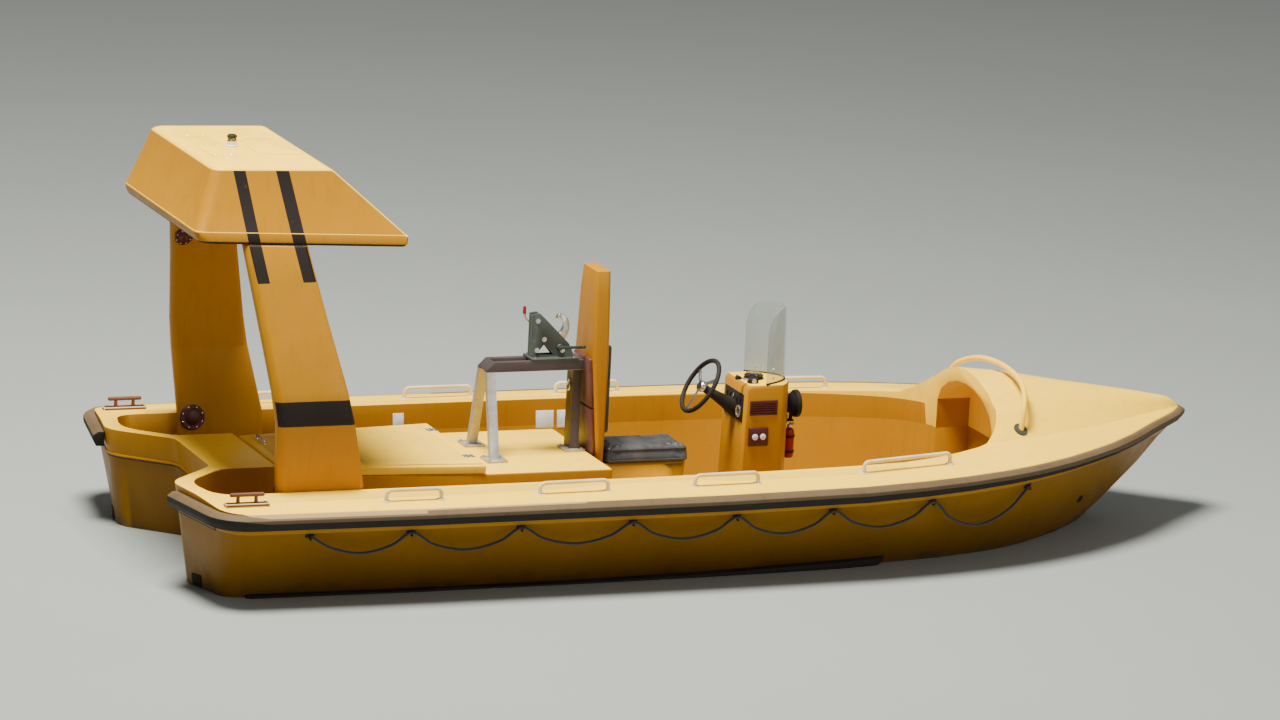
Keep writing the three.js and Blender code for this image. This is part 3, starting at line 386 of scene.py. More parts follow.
def rubber(name, colour, scuffs=0.22):
    """Moulded rubber, chalky and scuffed along its length."""
    material, tree, shader = blank_material(name, Specular_IOR_Level=0.25)
    point = place_on(tree)
    scuff = (0.30, 0.25, 0.20)
    chalk = spread(tree, noise_on(tree, point, 3, 6), 0.35, 0.75)
    base = mix_colours(tree, chalk, colour, mix_colours(tree, scuffs * 0.4, colour, scuff))
    marks = spread(tree, noise_on(tree, place_on(tree, (2, 9, 30)), 3.5, 6, 0.7), 0.60, 0.74, 0, scuffs)
    base = mix_colours(tree, marks, base, scuff)
    dirt = spread(tree, noise_on(tree, point, 14, 5), 0.55, 0.8, 0, 0.45)
    base = mix_colours(tree, dirt, base, shade(colour, 0.45))
    grain = relief(tree, noise_on(tree, point, 220, 3), 0.0005, 0.5)
    connect(tree, shader, Base_Color=base, Roughness=spread(tree, chalk, 0, 1, 0.6, 0.88), Normal=grain)
    return material


def bare_metal(name, colour, roughness=(0.22, 0.42), brushed=(60, 60, 4), patches=0.12):
    """Metal with fine brushing and dull patches."""
    material, tree, shader = blank_material(name, Metallic=1.0)
    point = place_on(tree)
    dull = spread(tree, noise_on(tree, point, 9, 5), 0.35, 0.7)
    base = mix_colours(tree, dull, colour, shade(colour, 1 - patches * 2))
    lines = relief(tree, noise_on(tree, place_on(tree, brushed), 12, 4), 0.0002, 0.4)
    connect(tree, shader, Base_Color=base, Roughness=spread(tree, dull, 0, 1, *roughness), Normal=lines)
    return material


def galvanised(name, colour):
    """Zinc coat with its crystal pattern, white bloom and a few rust runs."""
    material, tree, shader = blank_material(name, Metallic=0.55)
    point = place_on(tree)
    crystals = cells_on(tree, point, 55.0, "Color")
    tone = add_node(tree, "ShaderNodeSeparateColor", {"Color": crystals}).outputs["Red"]
    base = mix_colours(tree, spread(tree, tone, 0, 1, 0, 0.45), colour, shade(colour, 1.5))
    bloom = spread(tree, noise_on(tree, point, 7, 6), 0.5, 0.75, 0, 0.5)
    base = mix_colours(tree, bloom, base, (0.52, 0.51, 0.49))
    rust = spread(tree, noise_on(tree, place_on(tree, (14, 14, 2)), 2.4, 5), 0.66, 0.80, 0, 0.55)
    base = mix_colours(tree, rust, base, (0.17, 0.065, 0.025))
    grain = relief(tree, noise_on(tree, point, 90, 3), 0.0006, 0.4)
    connect(tree, shader, Base_Color=base, Roughness=spread(tree, bloom, 0, 0.5, 0.42, 0.72), Normal=grain)
    return material


def painted(name, colour, chipped, roughness=0.42, chips=0.6):
    """Brushed-on paint over metal, with small chips."""
    material, tree, shader = blank_material(name, Roughness=roughness, Specular_IOR_Level=0.28)
    point = place_on(tree)
    uneven = spread(tree, noise_on(tree, point, 6, 4), 0.35, 0.7)
    base = mix_colours(tree, uneven, colour, shade(colour, 0.72))
    chip = spread(tree, noise_on(tree, point, 34, 5, 0.7), 0.66, 0.70, 0, chips)
    base = mix_colours(tree, chip, base, chipped)
    brush = relief(tree, noise_on(tree, place_on(tree, (8, 8, 40)), 6, 4), 0.0004, 0.4)
    connect(tree, shader, Base_Color=base, Normal=relief(tree, chip, 0.0005, 0.6, brush))
    return material


def vinyl(name, colour):
    """Coated upholstery cloth with a leather grain."""
    material, tree, shader = blank_material(name, IOR=1.46, Sheen_Weight=0.12, Sheen_Roughness=0.4)
    point = place_on(tree)
    grain = cells_on(tree, point, 420)
    worn = spread(tree, noise_on(tree, point, 7, 5), 0.4, 0.75)
    base = mix_colours(tree, worn, colour, mix_colours(tree, 0.10, colour, (0.5, 0.5, 0.5)))
    creases = relief(tree, noise_on(tree, point, 22, 4), 0.002, 0.25)
    grained = relief(tree, grain, 0.0005, 0.6, creases)
    connect(tree, shader, Base_Color=base, Roughness=spread(tree, worn, 0, 1, 0.40, 0.62), Normal=grained)
    return material


def laid_rope(name, colour, turns):
    """Three-strand line: slanting strands that follow the rope's own length."""
    material, tree, shader = blank_material(name, Roughness=0.9, Sheen_Weight=0.25)
    along = place_on(tree, source="UV")
    parts = add_node(tree, "ShaderNodeSeparateXYZ", {"Vector": along})
    twist = calculate(tree, "ADD", calculate(tree, "MULTIPLY", parts.outputs["X"], turns), parts.outputs["Y"])
    phase = calculate(tree, "MULTIPLY", twist, 3 * math.tau)
    strand = spread(tree, calculate(tree, "SINE", phase), -1, 1)
    fibres = noise_on(tree, place_on(tree), 260, 3)
    crown = mix_colours(tree, fibres, colour, shade(colour, 2.2))
    # Darker in the grooves between the strands: painted shade.
    base = mix_colours(tree, strand, shade(colour, 0.4), crown)
    lay = relief(tree, strand, 0.0025, 0.9)
    connect(tree, shader, Base_Color=base, Normal=relief(tree, fibres, 0.0006, 0.5, lay))
    return material


def clear_sheet(name, tint, roughness):
    """Clear moulded plastic with fine scratches and salt spots."""
    material, tree, shader = blank_material(name, Transmission_Weight=1.0, IOR=1.49)
    point = place_on(tree)
    salt = spread(tree, noise_on(tree, point, 30, 6, 0.7), 0.55, 0.8, 0, 1)
    base = mix_colours(tree, salt, tint, shade(tint, 0.85))
    gloss = spread(tree, salt, 0, 1, roughness, roughness + 0.3)
    scratches = relief(tree, noise_on(tree, place_on(tree, (4, 60, 6)), 9, 4), 0.0001, 0.2)
    connect(tree, shader, Base_Color=base, Roughness=gloss, Normal=scratches)
    return material


def thin_sheet(name, tint):
    """A thin smoky sheet that is seen through, hazy where salt has dried on it."""
    material, tree, shader = blank_material(name, IOR=1.25)
    point = place_on(tree)
    salt = spread(tree, noise_on(tree, point, 24, 6, 0.7), 0.50, 0.80)
    base = mix_colours(tree, salt, tint, shade(tint, 1.5))
    cover = spread(tree, salt, 0, 1, 0.30, 0.46)
    connect(tree, shader, Base_Color=base, Alpha=cover, Roughness=spread(tree, salt, 0, 1, 0.10, 0.40))
    return material


def plain_plastic(name, colour, roughness):
    """Small moulded plastic parts and blank plates."""
    material, tree, shader = blank_material(name, IOR=1.48)
    point = place_on(tree)
    dirt = spread(tree, noise_on(tree, point, 18, 5), 0.45, 0.8)
    base = mix_colours(tree, dirt, colour, shade(colour, 0.72))
    gloss = spread(tree, dirt, 0, 1, roughness, roughness + 0.25)
    grain = relief(tree, noise_on(tree, point, 300, 2), 0.0003, 0.3)
    connect(tree, shader, Base_Color=base, Roughness=gloss, Normal=grain)
    return material


def make_finishes():
    """Every finish by the short name that the pieces use."""
    look = finish_settings()
    hull, deck, fender = tuple(look.hull_colour), tuple(look.deck_painted_light_colour), tuple(look.fender_colour)
    return {
        "gelcoat": gelcoat("Gelcoat", hull),
        # The hull's outside is a darker copy of the gelcoat: painted shade. The waterline band and grime come
        # on top.
        "hull": gelcoat("Hull gelcoat with painted shade", shade(hull, 0.55), waterline=True),
        # Deck and tread: a paler copy of the gelcoat, painted sky light on the faces that look up.
        "deck": gelcoat("Deck gelcoat with painted sky light", deck),
        "tread": non_slip("Deck tread with painted sky light", shade(deck, 0.93)),
        "sole": non_slip("Sole tread", (0.50, 0.33, 0.12), 0.009),
        "fender": rubber("Fender rubber", fender),
        # A paler copy of the fender rubber for its top band: painted highlight.
        "fender_top_highlight": rubber("Fender rubber with painted highlight", shade(fender, 3.2)),
        "black": rubber("Black rubber", (0.011, 0.009, 0.008), scuffs=0.08),
        "stripe": painted("Black stripe", (0.009, 0.004, 0.003), hull, 0.6, 0.12),
        "cover": plain_plastic("Maroon plastic", (0.075, 0.008, 0.010), 0.4),
        "frame_steel": galvanised("Galvanised steel", tuple(look.frame_colour)),
        # Dark paint on the frame's rails and fore post: partly their own colour, partly painted shade.
        "frame_dark_and_shade": painted("Frame dark paint and painted shade", (0.060, 0.046, 0.048), (0.22, 0.20, 0.20), 0.45, 0.35),
        "rail": painted("Cream rail paint", (0.74, 0.62, 0.40), (0.35, 0.30, 0.24), 0.35, 0.2),
        "cleat": painted("Red-brown cleat paint", (0.15, 0.060, 0.035), (0.30, 0.22, 0.15), 0.45, 0.4),
        "stainless": bare_metal("Stainless steel", (0.66, 0.66, 0.66)),
        "aluminium": bare_metal("Cast aluminium", (0.45, 0.46, 0.47), (0.38, 0.6), (20, 20, 20), 0.2),
        "dark_metal": painted("Dark painted metal", (0.052, 0.064, 0.058), (0.25, 0.25, 0.24)),
        "engine": painted("Engine paint", (0.16, 0.17, 0.18), (0.07, 0.06, 0.05)),
        "vinyl": vinyl("Black vinyl", (0.026, 0.026, 0.029)),
        "pad": vinyl("Maroon vinyl", tuple(look.pad_colour)),
        "rope": laid_rope("Black rope", (0.016, 0.015, 0.014), size_settings().rope_strands * 6),
        "red": painted("Red paint", (0.30, 0.016, 0.012), (0.4, 0.38, 0.35), 0.32, 0.3),
        "white": plain_plastic("White plastic", (0.72, 0.73, 0.72), 0.35),
        "green": plain_plastic("Pale green plate", (0.50, 0.62, 0.36), 0.4),
        "glass": thin_sheet("Windshield sheet", (0.30, 0.36, 0.37)),
        "lens": clear_sheet("Lamp glass", (0.92, 0.94, 0.95), 0.02),
        "brass": bare_metal("Brass", (0.52, 0.36, 0.13)),
        "seal": rubber("Sealant", (0.055, 0.045, 0.035), scuffs=0.1),
    }


# Mesh helpers


def new_object(name, data, body=None):
    """A new object in the scene, which rides on a body if one is given."""
    made = bpy.data.objects.new(name, data)
    bpy.context.scene.collection.objects.link(made)
    if body:
        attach(made, body)
    return made


def keep(name, bm, materials, body="boat", replaces=None, smooth=32, clean=True):
    """Makes a bmesh a piece of the boat. Its faces carry the numbers of the given materials."""
    if clean:
        bmesh.ops.remove_doubles(bm, verts=bm.verts, dist=1e-6)
        bmesh.ops.recalc_face_normals(bm, faces=bm.faces)
    mesh = bpy.data.meshes.new(name)
    bm.to_mesh(mesh)
    bm.free()
    for key in [materials] if isinstance(materials, str) else materials:
        mesh.materials.append(FINISHES[key])
    mesh.shade_smooth()
    mesh.set_sharp_from_angle(angle=math.radians(smooth))
    made = new_object(name, mesh, body)
    if replaces:
        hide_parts(replaces)


def stand(point, up, ahead=None):
    """A frame at a point with its Z along up and its X near ahead."""
    z = Vector(up).normalized()
    hint = Vector(ahead) if ahead else (Vector((1, 0, 0)) if abs(z.x) < 0.9 else Vector((0, 1, 0)))
    x = (hint - z * hint.dot(z)).normalized()
    turn = Matrix((x, z.cross(x), z)).transposed().to_4x4()
    return Matrix.Translation(Vector(point)) @ turn


def faces_at(verts):
    return {face for vert in verts for face in vert.link_faces}


def give_paint(faces, paint):
    """Gives the faces the number of a material."""
    for face in faces:
        face.material_index = paint


def paint_faces(bm, pick):
    """Gives each face the number of the material that pick() finds for it."""
    for face in bm.faces:
        face.material_index = pick(face)


def bevel_edges(bm, edges, radius, segments):
    """Rounds the edges, and returns the new faces."""
    return bmesh.ops.bevel(
        bm, geom=edges, offset=radius, offset_type="OFFSET", segments=segments, profile=0.5,
        affect="EDGES", material=-1, clamp_overlap=True,
    )["faces"]


def cut(bm, point, normal, parts=None):
    """Cuts the mesh along a plane, or only the given parts of it."""
    parts = parts or bm.verts[:] + bm.edges[:] + bm.faces[:]
    bmesh.ops.bisect_plane(bm, geom=parts, dist=1e-6, plane_co=point, plane_no=normal)


def add_box(bm, low, high, matrix=Matrix(), bevel=0.0, segments=2, paint=0):
    """A box between two corners of the matrix's own frame, with rounded edges if bevel is given."""
    low, high = Vector(low), Vector(high)
    size = Matrix.Diagonal((*(high - low), 1))
    place = matrix @ Matrix.Translation((low + high) / 2) @ size
    verts = bmesh.ops.create_cube(bm, size=1, matrix=place)["verts"]
    faces = faces_at(verts)
    if bevel:
        rounded = bevel_edges(bm, list({edge for vert in verts for edge in vert.link_edges}), bevel, segments)
        faces = {face for face in faces if face.is_valid} | set(rounded)
    give_paint(faces, paint)


def add_turned(bm, profile, matrix, steps, paint=0):
    """Spins a profile of (radius, height) round the frame's Z axis."""
    verts = [bm.verts.new(matrix @ Vector((radius, 0, height))) for radius, height in profile]
    edges = [bm.edges.new(pair) for pair in zip(verts, verts[1:])]
    old_faces = set(bm.faces)
    bmesh.ops.spin(
        bm, geom=verts + edges, cent=matrix.translation, axis=matrix.to_3x3() @ UP,
        angle=math.tau, steps=steps, use_merge=True,
    )
    give_paint(set(bm.faces) - old_faces, paint)


def add_rod(bm, start, end, radius, end_radius=None, steps=16, paint=0):
    """A round rod between two points, tapered if end_radius is given."""
    start, end = Vector(start), Vector(end)
    made = bmesh.ops.create_cone(
        bm, cap_ends=True, cap_tris=False, segments=steps, radius1=radius,
        radius2=radius if end_radius is None else end_radius, depth=(end - start).length,
        matrix=stand((start + end) / 2, end - start),
    )
    give_paint(faces_at(made["verts"]), paint)


def add_tube(bm, points, radius, steps, paint=0, closed=False):
    """Carries a circle along a line of points."""
    points = [Vector(point) for point in points]
    after = points[1:] + [points[0] if closed else points[-1]]
    before = [points[-1] if closed else points[0]] + points[:-1]
    along = [end - start for start, end in zip(before, after)]
    frames = [stand(points[0], along[0])]
    for point, direction in zip(points[1:], along[1:]):
        frames.append(stand(point, direction, frames[-1].to_3x3() @ Vector((1, 0, 0))))
    made = bmesh.ops.create_circle(bm, cap_ends=False, segments=steps, radius=radius, matrix=frames[0])
    first = ring = list({edge for vert in made["verts"] for edge in vert.link_edges})
    old_faces = set(bm.faces)
    for last, here in zip(frames, frames[1:]):
        extruded = bmesh.ops.extrude_edge_only(bm, edges=ring)["geom"]
        verts = [part for part in extruded if isinstance(part, bmesh.types.BMVert)]
        edges = [part for part in extruded if isinstance(part, bmesh.types.BMEdge)]
        ring = [edge for edge in edges if all(vert in verts for vert in edge.verts)]
        bmesh.ops.transform(bm, matrix=here @ last.inverted(), verts=verts)
    if closed:
        bmesh.ops.bridge_loops(bm, edges=first + ring)
    else:
        bmesh.ops.holes_fill(bm, edges=first, sides=0)
        bmesh.ops.holes_fill(bm, edges=ring, sides=0)
    give_paint(set(bm.faces) - old_faces, paint)


def add_bolt(bm, point, up, radius, height):
    """A hexagon head on a washer."""
    matrix = stand(point, up)
    add_turned(bm, [(0, 0), (radius * 1.5, 0), (radius * 1.5, 0.0016), (0, 0.0016)], matrix, 16)
    bmesh.ops.create_cone(
        bm, cap_ends=True, cap_tris=False, segments=6, radius1=radius, radius2=radius * 0.94,
        depth=height, matrix=matrix @ Matrix.Translation((0, 0, height / 2 + 0.001)),
    )


def add_dome(bm, point, up, radius, height=0.003, paint=0):
    """A pan head screw."""
    profile = [
        (0, -0.001), (radius, -0.001), (radius, height * 0.35), (radius * 0.72, height * 0.85), (0, height),
    ]
    add_turned(bm, profile, stand(point, up), 12, paint)


def circle_points(radius, count, height=0.0, start=0.0):
    """Points spaced evenly round a circle, the first at the angle start."""
    turns = [start + math.tau * step / count for step in range(count)]
    return [Vector((radius * math.cos(turn), radius * math.sin(turn), height)) for turn in turns]


def rounded_path(points, corner, steps=6):
    """Straight runs with their corners rounded."""
    points = [Vector(point) for point in points]
    line = [points[0]]
    for before, here, after in zip(points, points[1:], points[2:]):
        start = here + (before - here).normalized() * corner
        end = here + (after - here).normalized() * corner
        line += interpolate_bezier(start, start.lerp(here, 0.55), end.lerp(here, 0.55), end, steps)
    return line + [points[-1]]


def curve_through(points, per_span):
    """Points on a centripetal spline through the given ones."""
    points = [Vector(point) for point in points]
    ends = [2 * points[0] - points[1], *points, 2 * points[-1] - points[-2]]
    line = []
    for a, b, c, d in zip(ends, ends[1:], ends[2:], ends[3:]):
        first = math.sqrt((b - a).length)
        second = first + math.sqrt((c - b).length)
        third = second + math.sqrt((d - c).length)
        for step in range(per_span):
            t = first + (second - first) * step / per_span
            ab, bc = a.lerp(b, t / first), b.lerp(c, (t - first) / (second - first))
            cd = c.lerp(d, (t - second) / (third - second))
            abc, bcd = ab.lerp(bc, t / second), bc.lerp(cd, (t - first) / (third - first))
            line.append(abc.lerp(bcd, (t - first) / (second - first)))
    return line + [points[-1]]


def search_tree(mesh):
    return BVHTree.FromPolygons([v.co for v in mesh.vertices], [p.vertices for p in mesh.polygons])


@functools.cache
def surface(node):
    """The search tree of a CAD node's faces."""
    return search_tree(frame["nodes"][node].data)


def touch(node, start, direction):
    """Where a ray meets a CAD node, and the way its face points there."""
    point, normal, _, _ = surface(node).ray_cast(Vector(start), Vector(direction))
    if point is None:
        raise ValueError(f"nothing of {node} lies from {start} along {direction}")
    if normal.dot(Vector(direction)) > 0:
        normal = -normal
    return point, normal


def on_top(x, y, node="deck_moulding"):
    """Where a plumb line meets the top of a CAD node, and the way it faces there."""
    return touch(node, (x, y, 3), (0, 0, -1))


def merged_copy(node):
    """A CAD node's mesh with its loose triangles joined and its flat faces made whole."""
    bm = bmesh.new()
    bm.from_mesh(frame["nodes"][node].data)
    bmesh.ops.remove_doubles(bm, verts=bm.verts, dist=1e-5)
    bmesh.ops.dissolve_limit(
        bm, angle_limit=math.radians(0.6), use_dissolve_boundaries=False, verts=bm.verts, edges=bm.edges,
        delimit={"NORMAL"},
    )
    return bm


def round_edges(bm, radius, sharp, segments=3, only=None):
    """Rounds the edges that turn by more than sharp degrees, or those of them that only() picks."""
    edges = [edge for edge in bm.edges if edge.is_manifold and edge.calc_face_angle(0) > math.radians(sharp)]
    if only:
        edges = [edge for edge in edges if only(edge)]
    if edges:
        bevel_edges(bm, edges, radius, segments)


def moulded(node, materials, radius, sharp=28, segments=3, *, paint=None, only=None, smooth=38,
            cuts=()):
    """A CAD node as a moulding: rounded at its edges, cut along planes for its colours and painted."""
    bm = merged_copy(node)
    round_edges(bm, radius, sharp, segments, only)
    for point, normal in cuts:
        cut(bm, point, normal)
    if paint:
        paint_faces(bm, paint)
    body = frame["nodes"][node]["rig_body"]
    keep(f"{node}_moulding", bm, materials, body, node, smooth, clean=False)


# Lifelines


def lifeline_route(side):
    """Points of one lifeline, which sags between its eyes."""
    eyes = [Vector((x, side * y, z)) for x, y, z in EYES]
    route = []
    for here, after, sag in zip(eyes, eyes[1:], SAGS):
        route.append(here)
        for t in SPREADS:
            route.append(here.lerp(after, t) - UP * sag * 4 * t * (1 - t))
    return route + [eyes[-1]]


def make_lifeline(label, side):
    """One lifeline as a round cord."""
    line = curve_through(lifeline_route(side), 9)
    data = bpy.data.curves.new(f"lifeline_rope_{label}", "CURVE")
    data.dimensions = "3D"
    data.bevel_depth = size_settings().rope_radius
    data.bevel_resolution = 3
    data.use_fill_caps = True
    spline = data.splines.new("POLY")
    spline.points.add(len(line) - 1)
    for point, place in zip(spline.points, line):
        point.co = (*place, 1)
    data.materials.append(FINISHES["rope"])
    rope = new_object(f"lifeline_rope_{label}", data, "boat")
    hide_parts(f"lifeline_{label}")


def make_eyes(label, side):
    """A back plate and a loop for each place where the line is held."""
    bm = bmesh.new()
    for x, y, z in EYES:
        point, normal = touch("hull", (x, side * (y + 0.3), z), (0, -side, 0))
        plate = stand(point, normal, (1, 0, 0))
        add_box(bm, (-0.027, -0.014, -0.004), (0.027, 0.014, 0.004), plate, 0.003)
        for along in (-0.019, 0.019):
            add_dome(bm, plate @ Vector((along, 0, 0.004)), normal, 0.004)
        reach = (Vector((x, side * y, z)) - point).dot(normal)
        turns = [math.pi * step / 10 for step in range(11)]
        loop = [(0, 0.014 * math.cos(turn), 0.003 + (reach + 0.013) * math.sin(turn)) for turn in turns]
        add_tube(bm, [plate @ Vector(spot) for spot in loop], 0.0038, 8)
    keep(f"lifeline_eyes_{label}", bm, "black")


class LIFEBOAT_OT_lifelines(bpy.types.Operator):
    """Hang the lifelines in loops along both sides"""

    bl_idname = "lifeboat.lifelines"
    bl_label = "Lifelines"

    def execute(self, context):
        for label, side in SIDES:
            make_lifeline(label, side)
            make_eyes(label, side)
        return {"FINISHED"}


# Hull and deck


def outer_edge(edge):
    """True outside the hull's well, whose edges the deck and the casing hide and which stay square."""
    x0, x1, half, z0, z1 = WELL
    middle = (edge.verts[0].co + edge.verts[1].co) / 2
    return not (x0 < middle.x < x1 and abs(middle.y) < half and z0 < middle.z < z1)


def hull_paint(face):
    """Faces that look into the cockpit have the plain gelcoat. The topsides have the darker copy: painted
    shade.
    """
    centre, normal = face.calc_center_median(), face.normal
    looks_across = normal.y * centre.y < -0.05 * abs(centre.y)
    looks_aft = abs(normal.y) < 0.3 and normal.x < -0.7
    in_well = -2.85 < centre.x < 2.6 and centre.z > 0.05
    return int(in_well and (looks_across or looks_aft))


def sheer_height(x):
    """Height of the deck edge at x, straight between its stations."""
    for (x0, z0), (x1, z1) in zip(SHEER, SHEER[1:]):
        if x <= x1:
            return z0 + (z1 - z0) * (x - x0) / (x1 - x0)
    return SHEER[-1][1]


def fender_foot(x):
    """Top of the fender's black foot, which is taller round the pods."""
    round_pods = max(0.0, min(1.0, (-2.95 - x) / 0.2))
    return sheer_height(x) - FENDER_FOOT_DROP + FENDER_POD_RISE * round_pods


def fender_paint(face):
    """A tan side over a black foot and black ends, and on the aft part a paler band over it: painted
    highlight along the top.
    """
    centre = face.calc_center_median()
    foot = fender_foot(centre.x)
    end = centre.x < -3.0 and abs(centre.y) < 0.80
    if end or centre.z < foot or face.normal.z < -0.5:
        return 1
    return 2 if centre.z > foot + FENDER_SIDE_HEIGHT and centre.x < FENDER_HIGHLIGHT_END else 0


def make_fender():
    """The rubber round the deck edge, cut along the sheer for its colours."""
    bm = merged_copy("rub_rail")
    round_edges(bm, 0.008, 20)
    stations = [x for x, _ in SHEER[1:-1]] + [*POD_STATIONS]
    for x in stations:
        cut(bm, (x, 0, 0), (1, 0, 0))
    stations = sorted([SHEER[0][0], *stations, SHEER[-1][0]])
    for rise in (0.0, FENDER_SIDE_HEIGHT):
        for x0, x1 in zip(stations, stations[1:]):
            faces = [face for face in bm.faces if x0 < face.calc_center_median().x < x1]
            edges = {edge for face in faces for edge in face.edges}
            verts = {vert for face in faces for vert in face.verts}
            slope = (fender_foot(x1) - fender_foot(x0)) / (x1 - x0)
            cut(bm, (x0, 0, fender_foot(x0) + rise), (-slope, 0, 1), [*verts, *edges, *faces])
    paint_faces(bm, fender_paint)
    finishes = ("fender", "black", "fender_top_highlight")
    keep("rub_rail_moulding", bm, finishes, "boat", "rub_rail", 38, clean=False)


def deck_paint(face):
    """The skirt outside and the pods' walls are the hull's colour. The deck above them is paler: painted sky
    light.
    """
    return int(face.normal.z < 0.55 and face.calc_center_median().z < 0.600)


def make_joint_rim():
    """A moulded lip round the stern where the deck sits on the hull, with a dark line under it: painted
    shadow of the lip.
    """
    half = [(x + STERN_LEAN, y) for x, y in STERN_JOINT]
    corners = [(x, -y) for x, y in reversed(half) if y] + half
    outline = []
    for (x0, y0), (x1, y1) in zip(corners, corners[1:]):
        steps = max(1, round(math.hypot(x1 - x0, y1 - y0) / 0.04))
        outline += [(x0 + (x1 - x0) * step / steps, y0 + (y1 - y0) * step / steps) for step in range(steps)]
    for name, finish, slot, height, radius in (
        ("joint_rim", "gelcoat", "gelcoat", 0.448, 0.009),
        # The dark line under the lip is painted shadow.
        ("joint_shadow_line", "seal", "black_rubber", 0.436, 0.006),
    ):
        bm = bmesh.new()
        line = [surface("deck_moulding").find_nearest(Vector((x, y, height)))[0] for x, y in outline]
        add_tube(bm, [(point.x, point.y, height) for point in line], radius, 8)
        keep(name, bm, finish)


def make_treads():
    """A tread panel along each gunwale, laid over the deck and narrower towards the bow."""
    aft, rows, pitch, lift, thick = TREADS
    for label, side in SIDES:
        bm = bmesh.new()
        bmesh.ops.create_grid(bm, x_segments=rows, y_segments=2, size=0.5)
        for vert in bm.verts:
            x = aft + round((vert.co.x + 0.5) * rows) * pitch
            inner = 1.055 - 0.02 * max(0.0, x + 0.4) ** 2
            outer = min(1.185, 1.155 + 0.02 * max(0, -x)) - 0.045 * max(0.0, x) ** 2
            outer = max(outer, inner + 0.02)
            y = side * (inner + (outer - inner) * (vert.co.y + 0.5))
            vert.co = (x, y, on_top(x, y)[0].z + lift)
        made = bmesh.ops.extrude_face_region(bm, geom=bm.faces[:])["geom"]
        verts = [part for part in made if isinstance(part, bmesh.types.BMVert)]
        bmesh.ops.translate(bm, vec=(0, 0, -thick), verts=verts)
        # The tread's pale colour is painted sky light, copied from the deck.
        keep(f"gunwale_tread_{label}", bm, "tread")


class LIFEBOAT_OT_mouldings(bpy.types.Operator):
    """Round the hull and deck mouldings and dress the rubber round them"""

    bl_idname = "lifeboat.mouldings"
    bl_label = "Hull and deck"

    def execute(self, context):
        moulded("hull", ("hull", "gelcoat"), 0.010, 34, paint=hull_paint, only=outer_edge)
        moulded("deck_moulding", ("deck", "gelcoat"), 0.012, paint=deck_paint)
        make_joint_rim()
        moulded("cockpit_sole", "sole", 0.003)
        make_fender()
        for label, _ in SIDES:
            moulded(f"chine_strake_{label}", "black", 0.008)
        return {"FINISHED"}


# Arch


def stripe_planes():
    """Planes along the edges of both stripes, and across their foot."""
    planes = [((0, 0, STRIPE_FOOT), (0, 0, 1))]
    rise = STRIPE_TOP - STRIPE_FOOT
    for (top, foot), width in zip(STRIPES, STRIPE_WIDTHS):
        normal = Vector((rise, 0, foot - top)).normalized()
        planes += [((foot + shift, 0, STRIPE_FOOT), normal) for shift in (0, width)]
    return planes


def stripe_paint(face):
    """The band and the stripes are black, on the outer faces only."""
    centre = face.calc_center_median()
    if face.normal.y * centre.y <= 0.5 * abs(centre.y):
        return 0
    if BAND[0] < centre.z < BAND[1] and abs(centre.y) > 0.9:
        return 1
    if centre.z < STRIPE_FOOT:
        return 0
    share = (centre.z - STRIPE_FOOT) / (STRIPE_TOP - STRIPE_FOOT)
    for (top, foot), width in zip(STRIPES, STRIPE_WIDTHS):
        edge = foot + (top - foot) * share
        if edge < centre.x < edge + width:
            return 1
    return 0


def make_cover(node, side):
    """A screwed inspection cover on the leg's inner face."""
    low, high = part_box(node)
    centre = (low + high) / 2
    radius = (high.x - low.x) / 2
    _, normal = touch(node, centre - Vector((0, side * 0.5, 0)), (0, side, 0))
    matrix = stand(centre, normal)
    half = 0.007
    profile = [
        (0, -half), (radius, -half), (radius, half * 0.2), (radius - 0.006, half), (radius - 0.020, half),
        (radius - 0.024, half * 0.5), (radius - 0.030, half * 0.5), (radius - 0.036, half * 1.1),
        (radius * 0.25, half * 1.7), (0, half * 1.8),
    ]
    bm = bmesh.new()
    add_turned(bm, profile, matrix, 40)
    for spot in circle_points(radius - 0.013, 8, half, math.pi / 8):
        add_dome(bm, matrix @ spot, normal, 0.005, paint=1)
    keep(f"{node}_disc", bm, ("cover", "stainless"), replaces=node)


def hood_level(x, edge):
    """Height of the hood's foot or top at x."""
    start, height, fall = edge
    return height - fall * (x - start)


def hood_end(z, leans):
    """Where the hood's aft or fore end lies at a height."""
    low, high = leans
    start, x, run = low if z < high[0] else high
    return x + run * (z - start)


def hood_ring(height, outset, from_top=False):
    """One closed outline of the hood, at a height over its foot or under its top, with rounded corners."""
    def level(x):
        return hood_level(x, HOOD_TOP) - height if from_top else hood_level(x, HOOD_FOOT) + height

    def half(z):
        return HOOD_SIDE[0] + HOOD_SIDE[1] * (HOOD_TOP[1] - z) + outset

    # Both heights are taken at an x near the end that they are for.
    aft_z, fore_z = level(-3.2), level(-2.42 if from_top else -1.95)
    aft, fore = hood_end(aft_z, HOOD_AFT) - outset, hood_end(fore_z, HOOD_FORE) + outset
    corners = [(aft, half(aft_z), HOOD_CORNERS[0]), (fore, half(fore_z), HOOD_CORNERS[1])]
    corners += [(x, -y, radius) for x, y, radius in reversed(corners)]
    ring = []
    for step, (x, y, radius) in enumerate(corners):
        corner = Vector((x, y))
        before, after = (Vector(corners[(step + turn) % 4][:2]) for turn in (-1, 1))
        start = corner + (before - corner).normalized() * radius
        end = corner + (after - corner).normalized() * radius
        for part in range(9):
            t = part / 8
            spot = start * (1 - t) ** 2 + corner * 2 * t * (1 - t) + end * t ** 2
            ring.append((spot.x, spot.y, level(spot.x)))
    return ring


def hood_paint(face):
    """A dark line along the foot, a pale top that is painted sky light, and the stripes."""
    centre = face.calc_center_median()
    if centre.z < hood_level(centre.x, HOOD_FOOT) + HOOD_LINE_HEIGHT and face.normal.z > -0.97:
        return 1
    return 2 if face.normal.z > 0.6 else stripe_paint(face)


